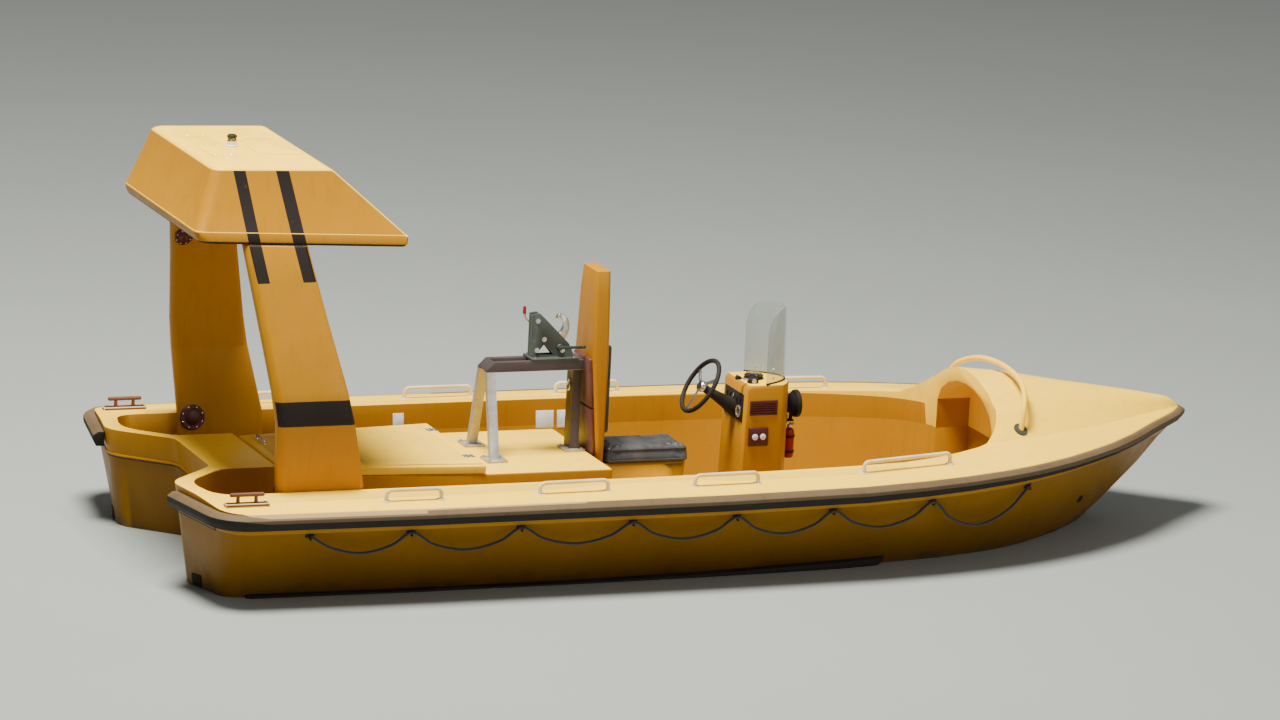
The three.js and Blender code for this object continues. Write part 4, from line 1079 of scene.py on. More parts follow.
def make_hood():
    """The hood: a dark line and a standing band round its foot, leaning sides and a rounded top."""
    rings = [hood_ring(height, outset) for height, outset in (
        (0, -0.014), (0.004, -0.004), (0.014, 0), (0.016, 0.002), (0.021, 0.0032), (0.060, 0.0032),
        (0.066, 0.0018), (0.069, 0),
    )]
    radius = 0.026
    for step in range(6):
        lean = math.pi / 2 * step / 5
        rings.append(hood_ring(radius * (1 - math.sin(lean)), -radius * (1 - math.cos(lean)), True))
    bm = bmesh.new()
    loops = []
    for ring in rings:
        verts = [bm.verts.new(point) for point in ring]
        loops.append([bm.edges.new(pair) for pair in zip(verts, verts[1:] + verts[:1])])
    for below, above in zip(loops, loops[1:]):
        bmesh.ops.bridge_loops(bm, edges=below + above)
    for loop in (loops[0], loops[-1]):
        bmesh.ops.holes_fill(bm, edges=loop, sides=0)
    bmesh.ops.recalc_face_normals(bm, faces=bm.faces)
    for point, normal in stripe_planes():
        cut(bm, point, normal)
    paint_faces(bm, hood_paint)
    finishes = ("gelcoat", "stripe", "deck")
    keep("arch_hood_moulding", bm, finishes, replaces="arch_hood", clean=False)


def make_hood_lids():
    """Two low lids with rounded corners and a row of screws at each end."""
    height, corner = 0.006, 0.04
    for name, x0, x1, half in (("aft", -3.03, -2.87, 0.31), ("fore", -2.72, -2.44, 0.24)):
        bm = bmesh.new()
        add_box(bm, (x0, -half, -height / 2), (x1, half, height / 2))
        upright = [edge for edge in bm.edges if abs((edge.verts[0].co - edge.verts[1].co).z) > height / 2]
        bevel_edges(bm, upright, corner, 6)
        for vert in bm.verts:
            vert.co.z += on_top(vert.co.x, vert.co.y, "arch_hood")[0].z + 0.001
        round_edges(bm, 0.0025, 50, 2)
        # The lids take the deck's pale colour: painted sky light.
        keep(f"hood_lid_{name}", bm, "deck")
        bm = bmesh.new()
        for x in (x0 + 0.03, x1 - 0.03):
            for y in (-half + 0.03, 0, half - 0.03):
                point, normal = on_top(x, y, "arch_hood")
                add_dome(bm, point + normal * 0.004, normal, 0.006)
        keep(f"hood_lid_screws_{name}", bm, "stainless")


def make_masthead():
    """A white base, a ribbed clear lens and a dark cap."""
    low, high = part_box("masthead_light")
    foot = stand(((low.x + high.x) / 2, (low.y + high.y) / 2, low.z), UP)
    bm = bmesh.new()
    base = [(0, 0), (0.040, 0), (0.040, 0.005), (0.032, 0.010), (0.029, 0.030), (0, 0.030)]
    lens = [(0, 0.029), (0.024, 0.029)]
    for rib in range(5):
        z = 0.030 + rib * 0.0045
        lens += [(0.0275, z + 0.001), (0.0255, z + 0.0035)]
    lens.append((0, 0.054))
    cap = [(0, 0.053), (0.030, 0.053), (0.030, 0.062), (0.022, 0.0695), (0, 0.071)]
    for paint, profile in enumerate((base, lens, cap)):
        add_turned(bm, profile, foot, 32, paint)
    keep("masthead_lamp", bm, ("white", "lens", "black"), replaces="masthead_light")


def make_leg_seals():
    """A bead of sealant round the foot of each leg."""
    x0, x1, z = -2.780, -2.240, 0.108
    for label, side in SIDES:
        bm = bmesh.new()
        y0, y1 = side * 0.872, side * 0.960
        ring = rounded_path([(x0, y0, z), (x1, y0, z), (x1, y1, z), (x0, y1, z), (x0, y0, z)], 0.02)
        add_tube(bm, ring, 0.008, 8)
        keep(f"leg_seal_{label}", bm, "seal")


class LIFEBOAT_OT_arch(bpy.types.Operator):
    """Build the self-righting arch with its stripes, covers and lamp"""

    bl_idname = "lifeboat.arch"
    bl_label = "Arch"

    def execute(self, context):
        planes = stripe_planes() + [((0, 0, z), (0, 0, 1)) for z in BAND]
        radius = size_settings().arch_radius
        for label, side in SIDES:
            moulded(f"arch_leg_{label}", ("gelcoat", "stripe"), radius, 24,
                    paint=stripe_paint, cuts=planes)
            for place in ("low", "high"):
                make_cover(f"leg_cover_{place}_{label}", side)
        make_hood()
        make_hood_lids()
        make_masthead()
        make_leg_seals()
        return {"FINISHED"}


# Machinery and lifting gear


def make_hatch():
    """The lid, with a tread panel on its crown."""
    bm = merged_copy("engine_hatch")
    round_edges(bm, 0.006, 30, 3)
    top = max((face for face in bm.faces if face.normal.z > 0.99), key=lambda face: face.calc_area())
    bmesh.ops.inset_individual(bm, faces=[top], thickness=0.045, use_even_offset=True)
    bmesh.ops.inset_individual(bm, faces=[top], thickness=0.004, depth=0.0015, use_even_offset=True)
    top.material_index = 1
    # The lid takes the deck's pale colour: painted sky light.
    keep("engine_hatch_lid", bm, ("deck", "tread"), "hatch", "engine_hatch", 30, clean=False)


def make_hatch_gear():
    """Hinge leaves along the lid's fore edge, latches on its aft edge and two grips on its top."""
    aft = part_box("engine_hatch")[0].x
    hinge, leaf_top = -1.312, 0.6055
    for label, side in reversed(SIDES):
        y = side * 0.34
        bm = bmesh.new()
        add_box(bm, (hinge - 0.085, y - 0.035, 0.6005), (hinge - 0.018, y + 0.035, leaf_top), bevel=0.0015)
        for x in (hinge - 0.072, hinge - 0.042):
            for across in (-0.02, 0.02):
                add_dome(bm, (x, y + across, leaf_top), UP, 0.005)
        keep(f"hatch_hinge_leaf_{label}", bm, "stainless", "hatch")
    bm = bmesh.new()
    for y in (-0.25, 0.25):
        add_box(bm, (aft - 0.003, y - 0.03, 0.562), (aft + 0.004, y + 0.03, 0.592), bevel=0.002)
        loop = [(aft - 0.001, y - 0.02, 0.583), (aft - 0.012, y - 0.02, 0.572),
                (aft - 0.012, y + 0.02, 0.572), (aft - 0.001, y + 0.02, 0.583)]
        add_tube(bm, rounded_path(loop, 0.006, 4), 0.003, 8)
    keep("hatch_latches", bm, "stainless", "hatch")
    bm = bmesh.new()
    x, foot, top, reach = aft + 0.10, 0.600, 0.632, 0.07
    flange = [(0, 0), (0.017, 0), (0.016, 0.004), (0.008, 0.005), (0, 0.005)]
    for y in (-0.22, 0.22):
        grip = [(x, y - reach, foot), (x, y - reach, top), (x, y + reach, top), (x, y + reach, foot)]
        add_tube(bm, rounded_path(grip, 0.018, 5), 0.0065, 12)
        for end in (-reach, reach):
            add_turned(bm, flange, stand((x, y + end, foot + 0.002), UP), 20)
    keep("hatch_grips", bm, "stainless", "hatch")


def top_paint(face):
    """Faces that look up have the second finish, whose paler colour is painted sky light."""
    return int(face.normal.z > 0.9)


def make_casing_vents():
    """Louvred air intakes on both sides of the casing."""
    for label, side in SIDES:
        bm = bmesh.new()
        x0, x1, z0, z1, rim = -1.16, -0.86, 0.24, 0.40, 0.018
        y = side * 0.528
        low, high = sorted((y, y + side * 0.012))
        for left, right, foot, top in (
            (x0, x1, z0, z0 + rim), (x0, x1, z1 - rim, z1), (x0, x0 + rim, z0, z1), (x1 - rim, x1, z0, z1),
        ):
            add_box(bm, (left, low, foot), (right, high, top), bevel=0.003)
        for step in range(6):
            place = Matrix.Translation((0, y + side * 0.006, z0 + 0.028 + step * 0.021))
            slat = place @ Matrix.Rotation(math.radians(side * 35), 4, "X")
            add_box(bm, (x0 + 0.01, -0.008, -0.001), (x1 - 0.01, 0.008, 0.001), slat)
        keep(f"casing_vent_{label}", bm, "black")


def frame_paint(face):
    """Aft legs and foot plates are bare zinc. The dark rails are partly paint, partly painted shade; the dark
    fore post is painted shade.
    """
    centre = face.calc_center_median()
    rail = centre.z > FRAME_RAIL_FOOT
    fore_post = centre.x > -0.66 and centre.z > 0.60 and abs(face.normal.z) < 0.5
    return int(rail or fore_post)


def make_lifting_frame():
    """The frame with rounded tube corners, bolts in its foot plates and weld beads."""
    moulded("lifting_frame", ("frame_steel", "frame_dark_and_shade"), 0.004, 40, 2,
            paint=frame_paint, cuts=[((0, 0, FRAME_RAIL_FOOT), (0, 0, 1))])
    bolts, welds = bmesh.new(), bmesh.new()
    foot_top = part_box("lifting_frame")[0].z + 0.012
    for x, y, across in FRAME_LEGS:
        for along in (-0.048, 0.048):
            for aside in (-0.058, 0.058):
                add_bolt(bolts, (x + along, y + aside, foot_top), UP, 0.0085, 0.007)
        x0, x1, y0, y1 = x - FRAME_LEG_DEPTH / 2, x + FRAME_LEG_DEPTH / 2, y - across / 2, y + across / 2
        corners = [(x0, y0), (x1, y0), (x1, y1), (x0, y1), (x0, y0)]
        add_tube(welds, rounded_path([(*spot, foot_top) for spot in corners], 0.006, 3), 0.0035, 6)
    keep("frame_bolts", bolts, "stainless")
    keep("frame_welds", welds, "frame_steel")


def make_hook():
    """The block and the hook, and their bolts."""
    moulded("hook_block", "dark_metal", 0.0025, 30, 2)
    moulded("lifting_hook", "stainless", 0.0015, 45, 2)
    bm = bmesh.new()
    foot_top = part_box("hook_block")[0].z + 0.014
    for x in (-0.865, -0.615):
        for y in (-0.068, 0.068):
            add_bolt(bm, (x, y, foot_top), UP, 0.010, 0.008)
    for side in (-1, 1):
        for x, z in ((-0.845, 1.345), (-0.800, 1.230), (-0.845, 1.165), (-0.680, 1.160)):
            add_bolt(bm, (x, side * 0.034, z), (0, side, 0), 0.010, 0.007)
    keep("hook_bolts", bm, "stainless")


def make_release_lever():
    """A flat lever with a knob, from a boss on the hook block to the seat back."""
    end = touch("seat_back", (-1.2, -0.050, 1.177), (1, 0, 0))[0].x
    bm = bmesh.new()
    boss = [(0, 0), (0.020, 0), (0.020, 0.010), (0.016, 0.014), (0, 0.014)]
    add_turned(bm, boss, stand((-0.700, -0.034, 1.180), (0, -1, 0)), 28)
    add_box(bm, (-0.712, -0.055, 1.170), (end - 0.012, -0.047, 1.188), bevel=0.002)
    add_rod(bm, (end - 0.030, -0.051, 1.179), (end - 0.030, -0.072, 1.179), 0.008, 0.007)
    keep("hook_side_lever", bm, "dark_metal")


def make_frame_ring():
    """A ring that hangs in a lug on the fore post."""
    post = touch("lifting_frame", (-0.66, 0, 0.955), (1, 0, 0))[0].x
    bm = bmesh.new()
    add_box(bm, (post - 0.008, -0.010, 0.945), (post + 0.003, 0.010, 0.975), bevel=0.002)
    turns = [math.tau * step / 28 for step in range(28)]
    ring = [(post - 0.0075, 0.024 * math.sin(turn), 0.930 + 0.026 * math.cos(turn)) for turn in turns]
    add_tube(bm, ring, 0.0045, 10, closed=True)
    keep("frame_ring", bm, "stainless")


def make_trip_lever():
    """A bent lever beside the hook block, with a red grip."""
    bm = bmesh.new()
    lever = rounded_path([(-0.846, 0.046, 1.30), (-0.900, 0.050, 1.345), (-0.905, 0.050, 1.385)], 0.02, 5)
    add_tube(bm, lever, 0.006, 10)
    add_rod(bm, (-0.905, 0.050, 1.375), (-0.905, 0.050, 1.420), 0.011, 0.009, 14, 1)
    keep("hook_trip_lever", bm, ("stainless", "red"))


def make_jet_bolts():
    """A ring of bolts on the jet housing's fore flange."""
    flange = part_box("jet_housing")[1].x - 0.018
    bm = bmesh.new()
    for spot in circle_points(0.137, 10, start=math.pi / 10):
        add_bolt(bm, (flange, spot.x, spot.y - 0.130), (-1, 0, 0), 0.006, 0.006)
    keep("jet_flange_bolts", bm, "stainless")


class LIFEBOAT_OT_machinery(bpy.types.Operator):
    """Dress the engine casing, hatch, lifting frame, hook and jet"""

    bl_idname = "lifeboat.machinery"
    bl_label = "Machinery and lifting gear"

    def execute(self, context):
        moulded("engine_casing", ("gelcoat", "deck"), 0.010, paint=top_paint)
        make_hatch()
        make_hatch_gear()
        make_casing_vents()
        make_lifting_frame()
        make_hook()
        make_release_lever()
        make_frame_ring()
        make_trip_lever()
        moulded("engine_block", "engine", 0.02)
        for node in ("jet_housing", "jet_nozzle", "reverse_bucket"):
            moulded(node, "aluminium", 0.002, 40, 2)
        moulded("intake_grille", "frame_steel", 0.002, 40, 2)
        make_jet_bolts()
        return {"FINISHED"}


# Seat


def bake_modifiers(piece):
    """A new object with the piece's modifiers applied. The old one is removed."""
    graph = bpy.context.evaluated_depsgraph_get()
    mesh = bpy.data.meshes.new_from_object(piece.evaluated_get(graph))
    made = new_object(piece.name, mesh)
    bpy.data.objects.remove(piece)
    return made


def swell_cushion(low, high, swell):
    """A stuffed block: remeshed, filled by a cloth simulation, and held to its box at the foot."""
    bm = bmesh.new()
    inset = 0.010
    add_box(bm, (low.x + inset, low.y + inset, low.z), (high.x - inset, high.y - inset, high.z - 0.022),
            bevel=0.016, segments=3)
    mesh = bpy.data.meshes.new("seat_cushion_blank")
    bm.to_mesh(mesh)
    bm.free()
    blank = new_object("seat_cushion_blank", mesh)
    remesh = blank.modifiers.new("Remesh", "REMESH")
    remesh.mode = "VOXEL"
    remesh.voxel_size = 0.007
    fixed = bake_modifiers(blank)
    rest = [vert.co.copy() for vert in fixed.data.vertices]
    held = fixed.vertex_groups.new(name="held")
    held.add([v.index for v in fixed.data.vertices if v.co.z < low.z + 0.006], 1.0, "ADD")
    cloth = fixed.modifiers.new("Cloth", "CLOTH")
    cloth.settings.use_pressure = True
    cloth.settings.uniform_pressure_force = 4
    cloth.settings.vertex_group_mass = "held"
    cloth.settings.effector_weights.gravity = 0
    cloth.settings.quality = 5
    for number in range(1, 19):
        bpy.context.scene.frame_set(number)
    filled = bake_modifiers(fixed)
    bpy.context.scene.frame_set(1)
    for vert, start in zip(filled.data.vertices, rest):
        move = vert.co - start
        if move.length > swell:
            vert.co = start + move.normalized() * swell
        vert.co.z = max(vert.co.z, low.z)
    return filled


def make_cushion():
    """The stuffed seat cushion in vinyl, with its piping."""
    low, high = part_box("seat_cushion")
    piece = swell_cushion(low, high, size_settings().cushion_swell)
    piece.name = "seat_cushion_cover"
    piece.data.materials.clear()
    piece.data.materials.append(FINISHES["vinyl"])
    piece.data.shade_smooth()
    tree = search_tree(piece.data)
    smoother = piece.modifiers.new("Subdivision", "SUBSURF")
    smoother.levels = smoother.render_levels = 1
    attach(piece, "boat")
    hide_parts("seat_cushion")
    make_piping(low, high, tree)


def make_piping(low, high, tree):
    """Sewn cords round the cushion's upper and lower edges, and three seams across its top."""
    bm = bmesh.new()
    inset = 0.014
    x0, x1, y0, y1 = low.x + inset, high.x - inset, low.y + inset, high.y - inset
    middle = (low.x + high.x) / 2
    for z in (low.z + 0.018, high.z - 0.036):
        corners = [(middle, y0, z), (x1, y0, z), (x1, y1, z), (x0, y1, z), (x0, y0, z), (middle, y0, z)]
        outline = rounded_path(corners, 0.03)
        line = []
        for start, end in zip(outline, outline[1:]):
            steps = max(1, int((end - start).length / 0.02))
            line += [start.lerp(end, step / steps) for step in range(steps)]
        add_tube(bm, [tree.find_nearest(point)[0] for point in line], 0.0035, 8, closed=True)
    for x in (-0.28, -0.12, 0.03):
        start, end = Vector((x, low.y + 0.02, 1)), Vector((x, high.y - 0.02, 1))
        hits = [tree.ray_cast(start.lerp(end, step / 30), -UP)[0] for step in range(31)]
        add_tube(bm, [point for point in hits if point], 0.0022, 6)
    keep("seat_cushion_piping", bm, "vinyl")


def back_face(x, direction, low, high):
    """A frame in the middle of a stretch of the seat back's face, and half the stretch's length."""
    foot, _ = touch("seat_back", (x, 0, low), direction)
    top, normal = touch("seat_back", (x, 0, high), direction)
    return stand(foot.lerp(top, 0.5), normal, (0, 1, 0)), (top - foot).length / 2


def make_back_pads():
    """Two maroon pads on the seat back's aft face, and a black rest pad on its fore face."""
    bm = bmesh.new()
    for low, high in ((0.50, 0.815), (0.82, 1.125)):
        face, _ = back_face(-1.2, (1, 0, 0), low + 0.01, high - 0.01)
        half = (high - low) / 2
        add_box(bm, (-0.142, -half, -0.004), (0.142, half, 0.020), face, 0.011, 4)
    keep("seat_back_pad", bm, "pad")
    bm = bmesh.new()
    face, half = back_face(0.5, (-1, 0, 0), 0.66, 1.20)
    add_box(bm, (-0.135, -half, -0.004), (0.135, half, 0.028), face, 0.014, 4)
    keep("seat_rest_pad", bm, "vinyl")


class LIFEBOAT_OT_seat(bpy.types.Operator):
    """Build the jockey seat, its stuffed cushion and its pads"""

    bl_idname = "lifeboat.seat"
    bl_label = "Seat"

    def execute(self, context):
        moulded("seat_base", "gelcoat", 0.008)
        moulded("seat_back", "gelcoat", 0.006)
        make_cushion()
        make_back_pads()
        return {"FINISHED"}


# Helm


def make_wheel():
    """A gripped rim on three steel spokes, about the wheel's own axis."""
    bm = bmesh.new()
    radius = 0.175
    add_tube(bm, [WHEEL_PLACE @ spot for spot in circle_points(radius, 96)], 0.0145, 14, closed=True)
    keep("wheel_rim", bm, "black", "wheel", "steering_wheel")
    bm = bmesh.new()
    for degrees in (60, 180, 300):
        spoke = WHEEL_PLACE @ Matrix.Rotation(math.radians(degrees), 4, "Z")
        add_box(bm, (0.024, -0.013, -0.006), (radius - 0.006, 0.013, -0.001), spoke, 0.002)
        add_box(bm, (0.06, -0.005, -0.002), (radius - 0.02, 0.005, 0.001), spoke, 0.001)
    hub = [(0, -0.021), (0.036, -0.021), (0.037, -0.014), (0.034, 0.004), (0.028, 0.009), (0, 0.009)]
    add_turned(bm, hub, WHEEL_PLACE, 32)
    keep("wheel_spokes", bm, "stainless", "wheel")
    bm = bmesh.new()
    add_turned(bm, [(0, 0.008), (0.026, 0.008), (0.025, 0.012), (0.016, 0.0145), (0, 0.015)], WHEEL_PLACE, 32)
    keep("wheel_cap", bm, "black", "wheel")


def make_dials():
    """A panel with two gauges and a row of switches on the console's aft face."""
    point, normal = touch("steering_console", (0.3, 0.1, 0.785), (1, 0, 0))
    face = stand((point.x, 0, 0.785), normal, (0, 1, 0))
    bm = bmesh.new()
    add_box(bm, (-0.150, -0.085, -0.002), (0.150, 0.085, 0.006), face, 0.003)
    bezel = [(0.026, 0), (0.037, 0), (0.037, 0.006), (0.033, 0.010), (0.029, 0.006), (0.026, 0.002)]
    for x in (-0.095, 0.095):
        ring = face @ Matrix.Translation((x, 0.028, 0.006))
        add_turned(bm, bezel, ring, 32, 1)
        add_turned(bm, [(0, 0), (0.029, 0), (0.029, 0.003), (0, 0.003)], ring, 32, 2)
        needle = ring @ Matrix.Rotation(math.radians(40 if x > 0 else -50), 4, "Z")
        add_box(bm, (-0.001, -0.004, 0.003), (0.001, 0.021, 0.0042), needle, paint=3)
        for tick in range(9):
            mark = ring @ Matrix.Rotation(math.radians(-120 + tick * 30), 4, "Z")
            add_box(bm, (-0.0007, 0.0215, 0.003), (0.0007, 0.0255, 0.0036), mark, paint=4)
    for step in range(5):
        x = -0.11 + step * 0.055
        add_box(bm, (x - 0.010, -0.066, 0.004), (x + 0.010, -0.034, 0.009), face, 0.0015)
        lever = face @ Matrix.Translation((x, -0.050, 0.009)) @ Matrix.Rotation(math.radians(18), 4, "X")
        paint = 4 if step == 2 else 0
        add_box(bm, (-0.007, -0.011, -0.002), (0.007, 0.011, 0.004), lever, 0.0012, paint=paint)
    keep("instrument_panel", bm, ("black", "stainless", "seal", "red", "white"))


def make_side_panels():
    """A louvred vent on both sides of the console, and a socket box on the starboard side."""
    for label, side in SIDES:
        bm = bmesh.new()
        face = stand((0.583, side * 0.195, 0.795), (0, side, 0), (1, 0, 0))
        add_box(bm, (-0.090, -0.046, -0.002), (0.090, 0.046, 0.004), face, 0.002)
        for edge in (-0.040, 0.040):
            add_box(bm, (-0.088, edge - 0.004, 0.003), (0.088, edge + 0.004, 0.009), face, 0.001)
        for step in range(5):
            slat = face @ Matrix.Translation((0, -0.028 + step * 0.014, 0.007)) @ Matrix.Rotation(0.6, 4, "X")
            add_box(bm, (-0.080, -0.0065, -0.0008), (0.080, 0.0065, 0.0008), slat)
        keep(f"console_vent_{label}", bm, "cover")
    bm = bmesh.new()
    face = stand((0.553, -0.195, 0.619), (0, -1, 0), (1, 0, 0))
    add_box(bm, (-0.062, -0.058, -0.002), (0.062, 0.058, 0.022), face, 0.005, 3)
    for x in (-0.026, 0.026):
        spot = face @ Matrix.Translation((x, 0, 0.022))
        add_turned(bm, [(0, 0), (0.019, 0), (0.019, 0.004), (0.016, 0.006), (0, 0.007)], spot, 24, 1)
    keep("socket_box", bm, ("cover", "white"))


def make_throttle():
    """A housing, a lever that leans aft and a shaped grip."""
    x, y, foot = 0.532, -0.120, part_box("throttle_control")[0].z
    bm = bmesh.new()
    add_box(bm, (x - 0.032, y - 0.024, foot), (x + 0.032, y + 0.024, foot + 0.030), bevel=0.009, segments=3)
    boss = [(0, 0), (0.015, 0), (0.014, 0.004), (0, 0.004)]
    add_turned(bm, boss, stand((x, y - 0.024, foot + 0.016), (0, -1, 0)), 24, 1)
    base = Vector((x - 0.004, y, foot + 0.015))
    tip = Vector((x - 0.096, y, foot + 0.037))
    add_rod(bm, base, tip, 0.0065, 0.0055, paint=1)
    grip = [
        (0, -0.020), (0.008, -0.020), (0.011, -0.012), (0.013, 0), (0.0165, 0.008), (0.012, 0.016),
        (0, 0.0168),
    ]
    add_turned(bm, grip, stand(tip, tip - base), 24)
    keep("throttle_lever", bm, ("black", "stainless"), replaces="throttle_control")


def make_compass():
    """A low black bowl with a bezel, a card and a clear dome."""
    low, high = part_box("compass")
    foot = stand(((low.x + high.x) / 2, 0, low.z), UP)
    bm = bmesh.new()
    bowl = [
        (0, 0), (0.062, 0), (0.062, 0.005), (0.057, 0.009), (0.056, 0.014), (0.060, 0.018), (0.060, 0.022),
        (0.053, 0.023), (0.051, 0.018), (0, 0.018),
    ]
    add_turned(bm, bowl, foot, 36)
    add_turned(bm, [(0, 0.019), (0.042, 0.019), (0.042, 0.024), (0.034, 0.026), (0, 0.027)], foot, 36, 1)
    keep("compass_bowl", bm, ("black", "seal"), replaces="compass")
    bm = bmesh.new()
    dome = [(0.0512, 0.0195), (0.0518, 0.023), (0.047, 0.034), (0.033, 0.0415), (0.015, 0.0447), (0, 0.045)]
    inner = [
        (0, 0.0432), (0.015, 0.0429), (0.0318, 0.0399), (0.045, 0.033), (0.0495, 0.023), (0.0492, 0.0195),
    ]
    add_turned(bm, [*dome, *inner, dome[0]], foot, 36)
    keep("compass_dome", bm, "lens")


def make_searchlight():
    """A wide lamp with cooling ribs and a bezel on a swivel bracket."""
    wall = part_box("searchlight")[0].x
    bm = bmesh.new()
    add_box(bm, (wall, -0.036, 0.655), (wall + 0.008, 0.036, 0.705), bevel=0.002)
    add_box(bm, (wall + 0.004, -0.024, 0.660), (wall + 0.056, 0.024, 0.672), bevel=0.003)
    add_rod(bm, (wall + 0.042, 0, 0.670), (wall + 0.042, 0, 0.712), 0.012, 0.010)
    axis = stand((wall + 0.044, 0, 0.768), (1, 0, 0))
    housing = [(0, -0.038), (0.040, -0.038), (0.046, -0.034)]
    for rib in range(4):
        start = -0.031 + rib * 0.010
        radius = 0.054 + rib * 0.005
        housing += [
            (radius - 0.005, start), (radius, start + 0.002), (radius, start + 0.006),
            (radius - 0.005, start + 0.008),
        ]
    housing += [
        (0.078, 0.010), (0.084, 0.016), (0.086, 0.032), (0.085, 0.038), (0.077, 0.038), (0.074, 0.026),
        (0.030, 0.004), (0, 0.002),
    ]
    add_turned(bm, housing, axis, 44)
    reflector = [
        (0, 0.006), (0.028, 0.008), (0.068, 0.025), (0.0735, 0.027), (0.067, 0.0235), (0.027, 0.0055),
        (0, 0.004),
    ]
    add_turned(bm, reflector, axis, 44, 1)
    for y in (-0.028, 0.028):
        for z in (0.680, 0.698):
            add_dome(bm, (wall + 0.008, y, z), (1, 0, 0), 0.005, paint=1)
    keep("searchlight_housing", bm, ("black", "stainless"), replaces="searchlight")
    bm = bmesh.new()
    # The lamp glass is opaque white plastic: a painted highlight of the light on the glass.
    add_turned(bm, [(0, 0.030), (0.076, 0.029), (0.076, 0.033), (0.050, 0.036), (0, 0.0375)], axis, 44)
    keep("searchlight_glass_painted_glint", bm, "white")


def make_extinguisher():
    """A red bottle with its valve, gauge, hose and two straps on a bracket."""
    low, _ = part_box("extinguisher")
    wall, middle = low.x, low.x + 0.038
    foot = stand((middle, 0, low.z), UP)
    bm = bmesh.new()
    bottle = [
        (0, 0), (0.026, 0), (0.031, 0.005), (0.032, 0.012), (0.032, 0.160), (0.029, 0.172), (0.022, 0.181),
        (0.013, 0.186), (0, 0.186),
    ]
    add_turned(bm, bottle, foot, 36)
    valve = [(0, 0.184), (0.011, 0.184), (0.011, 0.194), (0.014, 0.196), (0.014, 0.204), (0, 0.205)]
    add_turned(bm, valve, foot, 24, 2)
    add_box(bm, (-0.004, -0.006, 0.204), (0.028, 0.006, 0.208), foot, 0.0015, paint=1)
    add_box(bm, (-0.004, -0.006, 0.2115), (0.029, 0.006, 0.216), foot, 0.0015, paint=1)
    gauge = foot @ Matrix.Translation((0, -0.012, 0.199)) @ Matrix.Rotation(math.radians(90), 4, "X")
    add_turned(bm, [(0, 0), (0.009, 0), (0.009, 0.004), (0, 0.005)], gauge, 20, 3)
    hose = [
        (0, 0.012, 0.200), (0, 0.026, 0.198), (0.004, 0.035, 0.172), (0.004, 0.0365, 0.130),
        (0.004, 0.0365, 0.080),
    ]
    add_tube(bm, curve_through([foot @ Vector(point) for point in hose], 5), 0.0045, 10, 1)
    horn, mouth = (foot @ Vector((0.004, 0.0365, height)) for height in (0.085, 0.052))
    add_rod(bm, horn, mouth, 0.0048, 0.008, 14, 1)
    add_box(bm, (wall, -0.018, 0.452), (wall + 0.007, 0.018, 0.590), bevel=0.002, paint=1)
    strap = [(0.0315, -0.008), (0.0342, -0.008), (0.0342, 0.008), (0.0315, 0.008), (0.0315, -0.008)]
    for z in (0.470, 0.565):
        add_turned(bm, strap, stand((middle, 0, z), UP), 36, 1)
        add_box(bm, (wall + 0.067, -0.007, z - 0.007), (wall + 0.077, 0.007, z + 0.007), bevel=0.002, paint=2)
    finishes = ("red", "black", "brass", "white")
    keep("extinguisher_bottle", bm, finishes, replaces="extinguisher")


def make_windshield():
    """The sheet, its seal on the console and the bolts through its foot."""
    moulded("windshield", "glass", 0.0018, 50, 2, smooth=60)
    foot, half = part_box("windshield")[0].z, 0.190
    shares = [-1 + 2 * step / 24 for step in range(25)]
    bm = bmesh.new()
    add_tube(bm, [(0.780 - 0.184 * t * t, t * half, foot + 0.004) for t in shares], 0.0055, 8)
    for t in (-0.8, -0.4, 0, 0.4, 0.8):
        point, normal = touch("windshield", (0.4, t * half, foot + 0.030), (1, 0, 0))
        add_dome(bm, point, normal, 0.007, 0.004, 1)
    keep("windshield_seal", bm, ("black", "stainless"))


class LIFEBOAT_OT_helm(bpy.types.Operator):
    """Build the console, its instruments, the wheel and what hangs on the console"""

    bl_idname = "lifeboat.helm"
    bl_label = "Helm"

    def execute(self, context):
        moulded("steering_console", ("gelcoat", "deck"), 0.014, 40, paint=top_paint)
        make_dials()
        make_side_panels()
        moulded("steering_column", "black", 0.003, 40, 2)
        make_wheel()
        make_throttle()
        make_compass()
        make_searchlight()
        make_extinguisher()
        make_windshield()
        return {"FINISHED"}


# Deck fittings


def add_flange(bm, point, normal, radius=0.030, thick=0.005, screws=3, paint=0):
    """A round foot with its screws."""
    matrix = stand(point, normal)
    profile = [(0, -0.002), (radius, -0.002), (radius, thick * 0.5), (radius - 0.002, thick), (0, thick)]
    add_turned(bm, profile, matrix, 28, paint)
    for spot in circle_points(radius - 0.008, screws, thick, 0.5):
        add_dome(bm, matrix @ spot, normal, 0.004, 0.002, paint)


def make_grab_rails():
    """The bent rails along both gunwales, on round feet."""
    rise, sink = UP * RAIL_HEIGHT, UP * 0.004
    for label, side in SIDES:
        for name, x0, x1, y0, y1 in GRAB_RAILS:
            (aft, aft_up), (fore, fore_up) = on_top(x0, side * y0), on_top(x1, side * y1)
            bm = bmesh.new()
            path = rounded_path([aft - sink, aft + rise, fore + rise, fore - sink], 0.032, 7)
            add_tube(bm, path, RAIL_RADIUS, 14)
            add_flange(bm, aft, aft_up)
            add_flange(bm, fore, fore_up)
            node = f"grab_rail_{name}_{label}"
            keep(f"{node}_bar", bm, "rail", replaces=node)


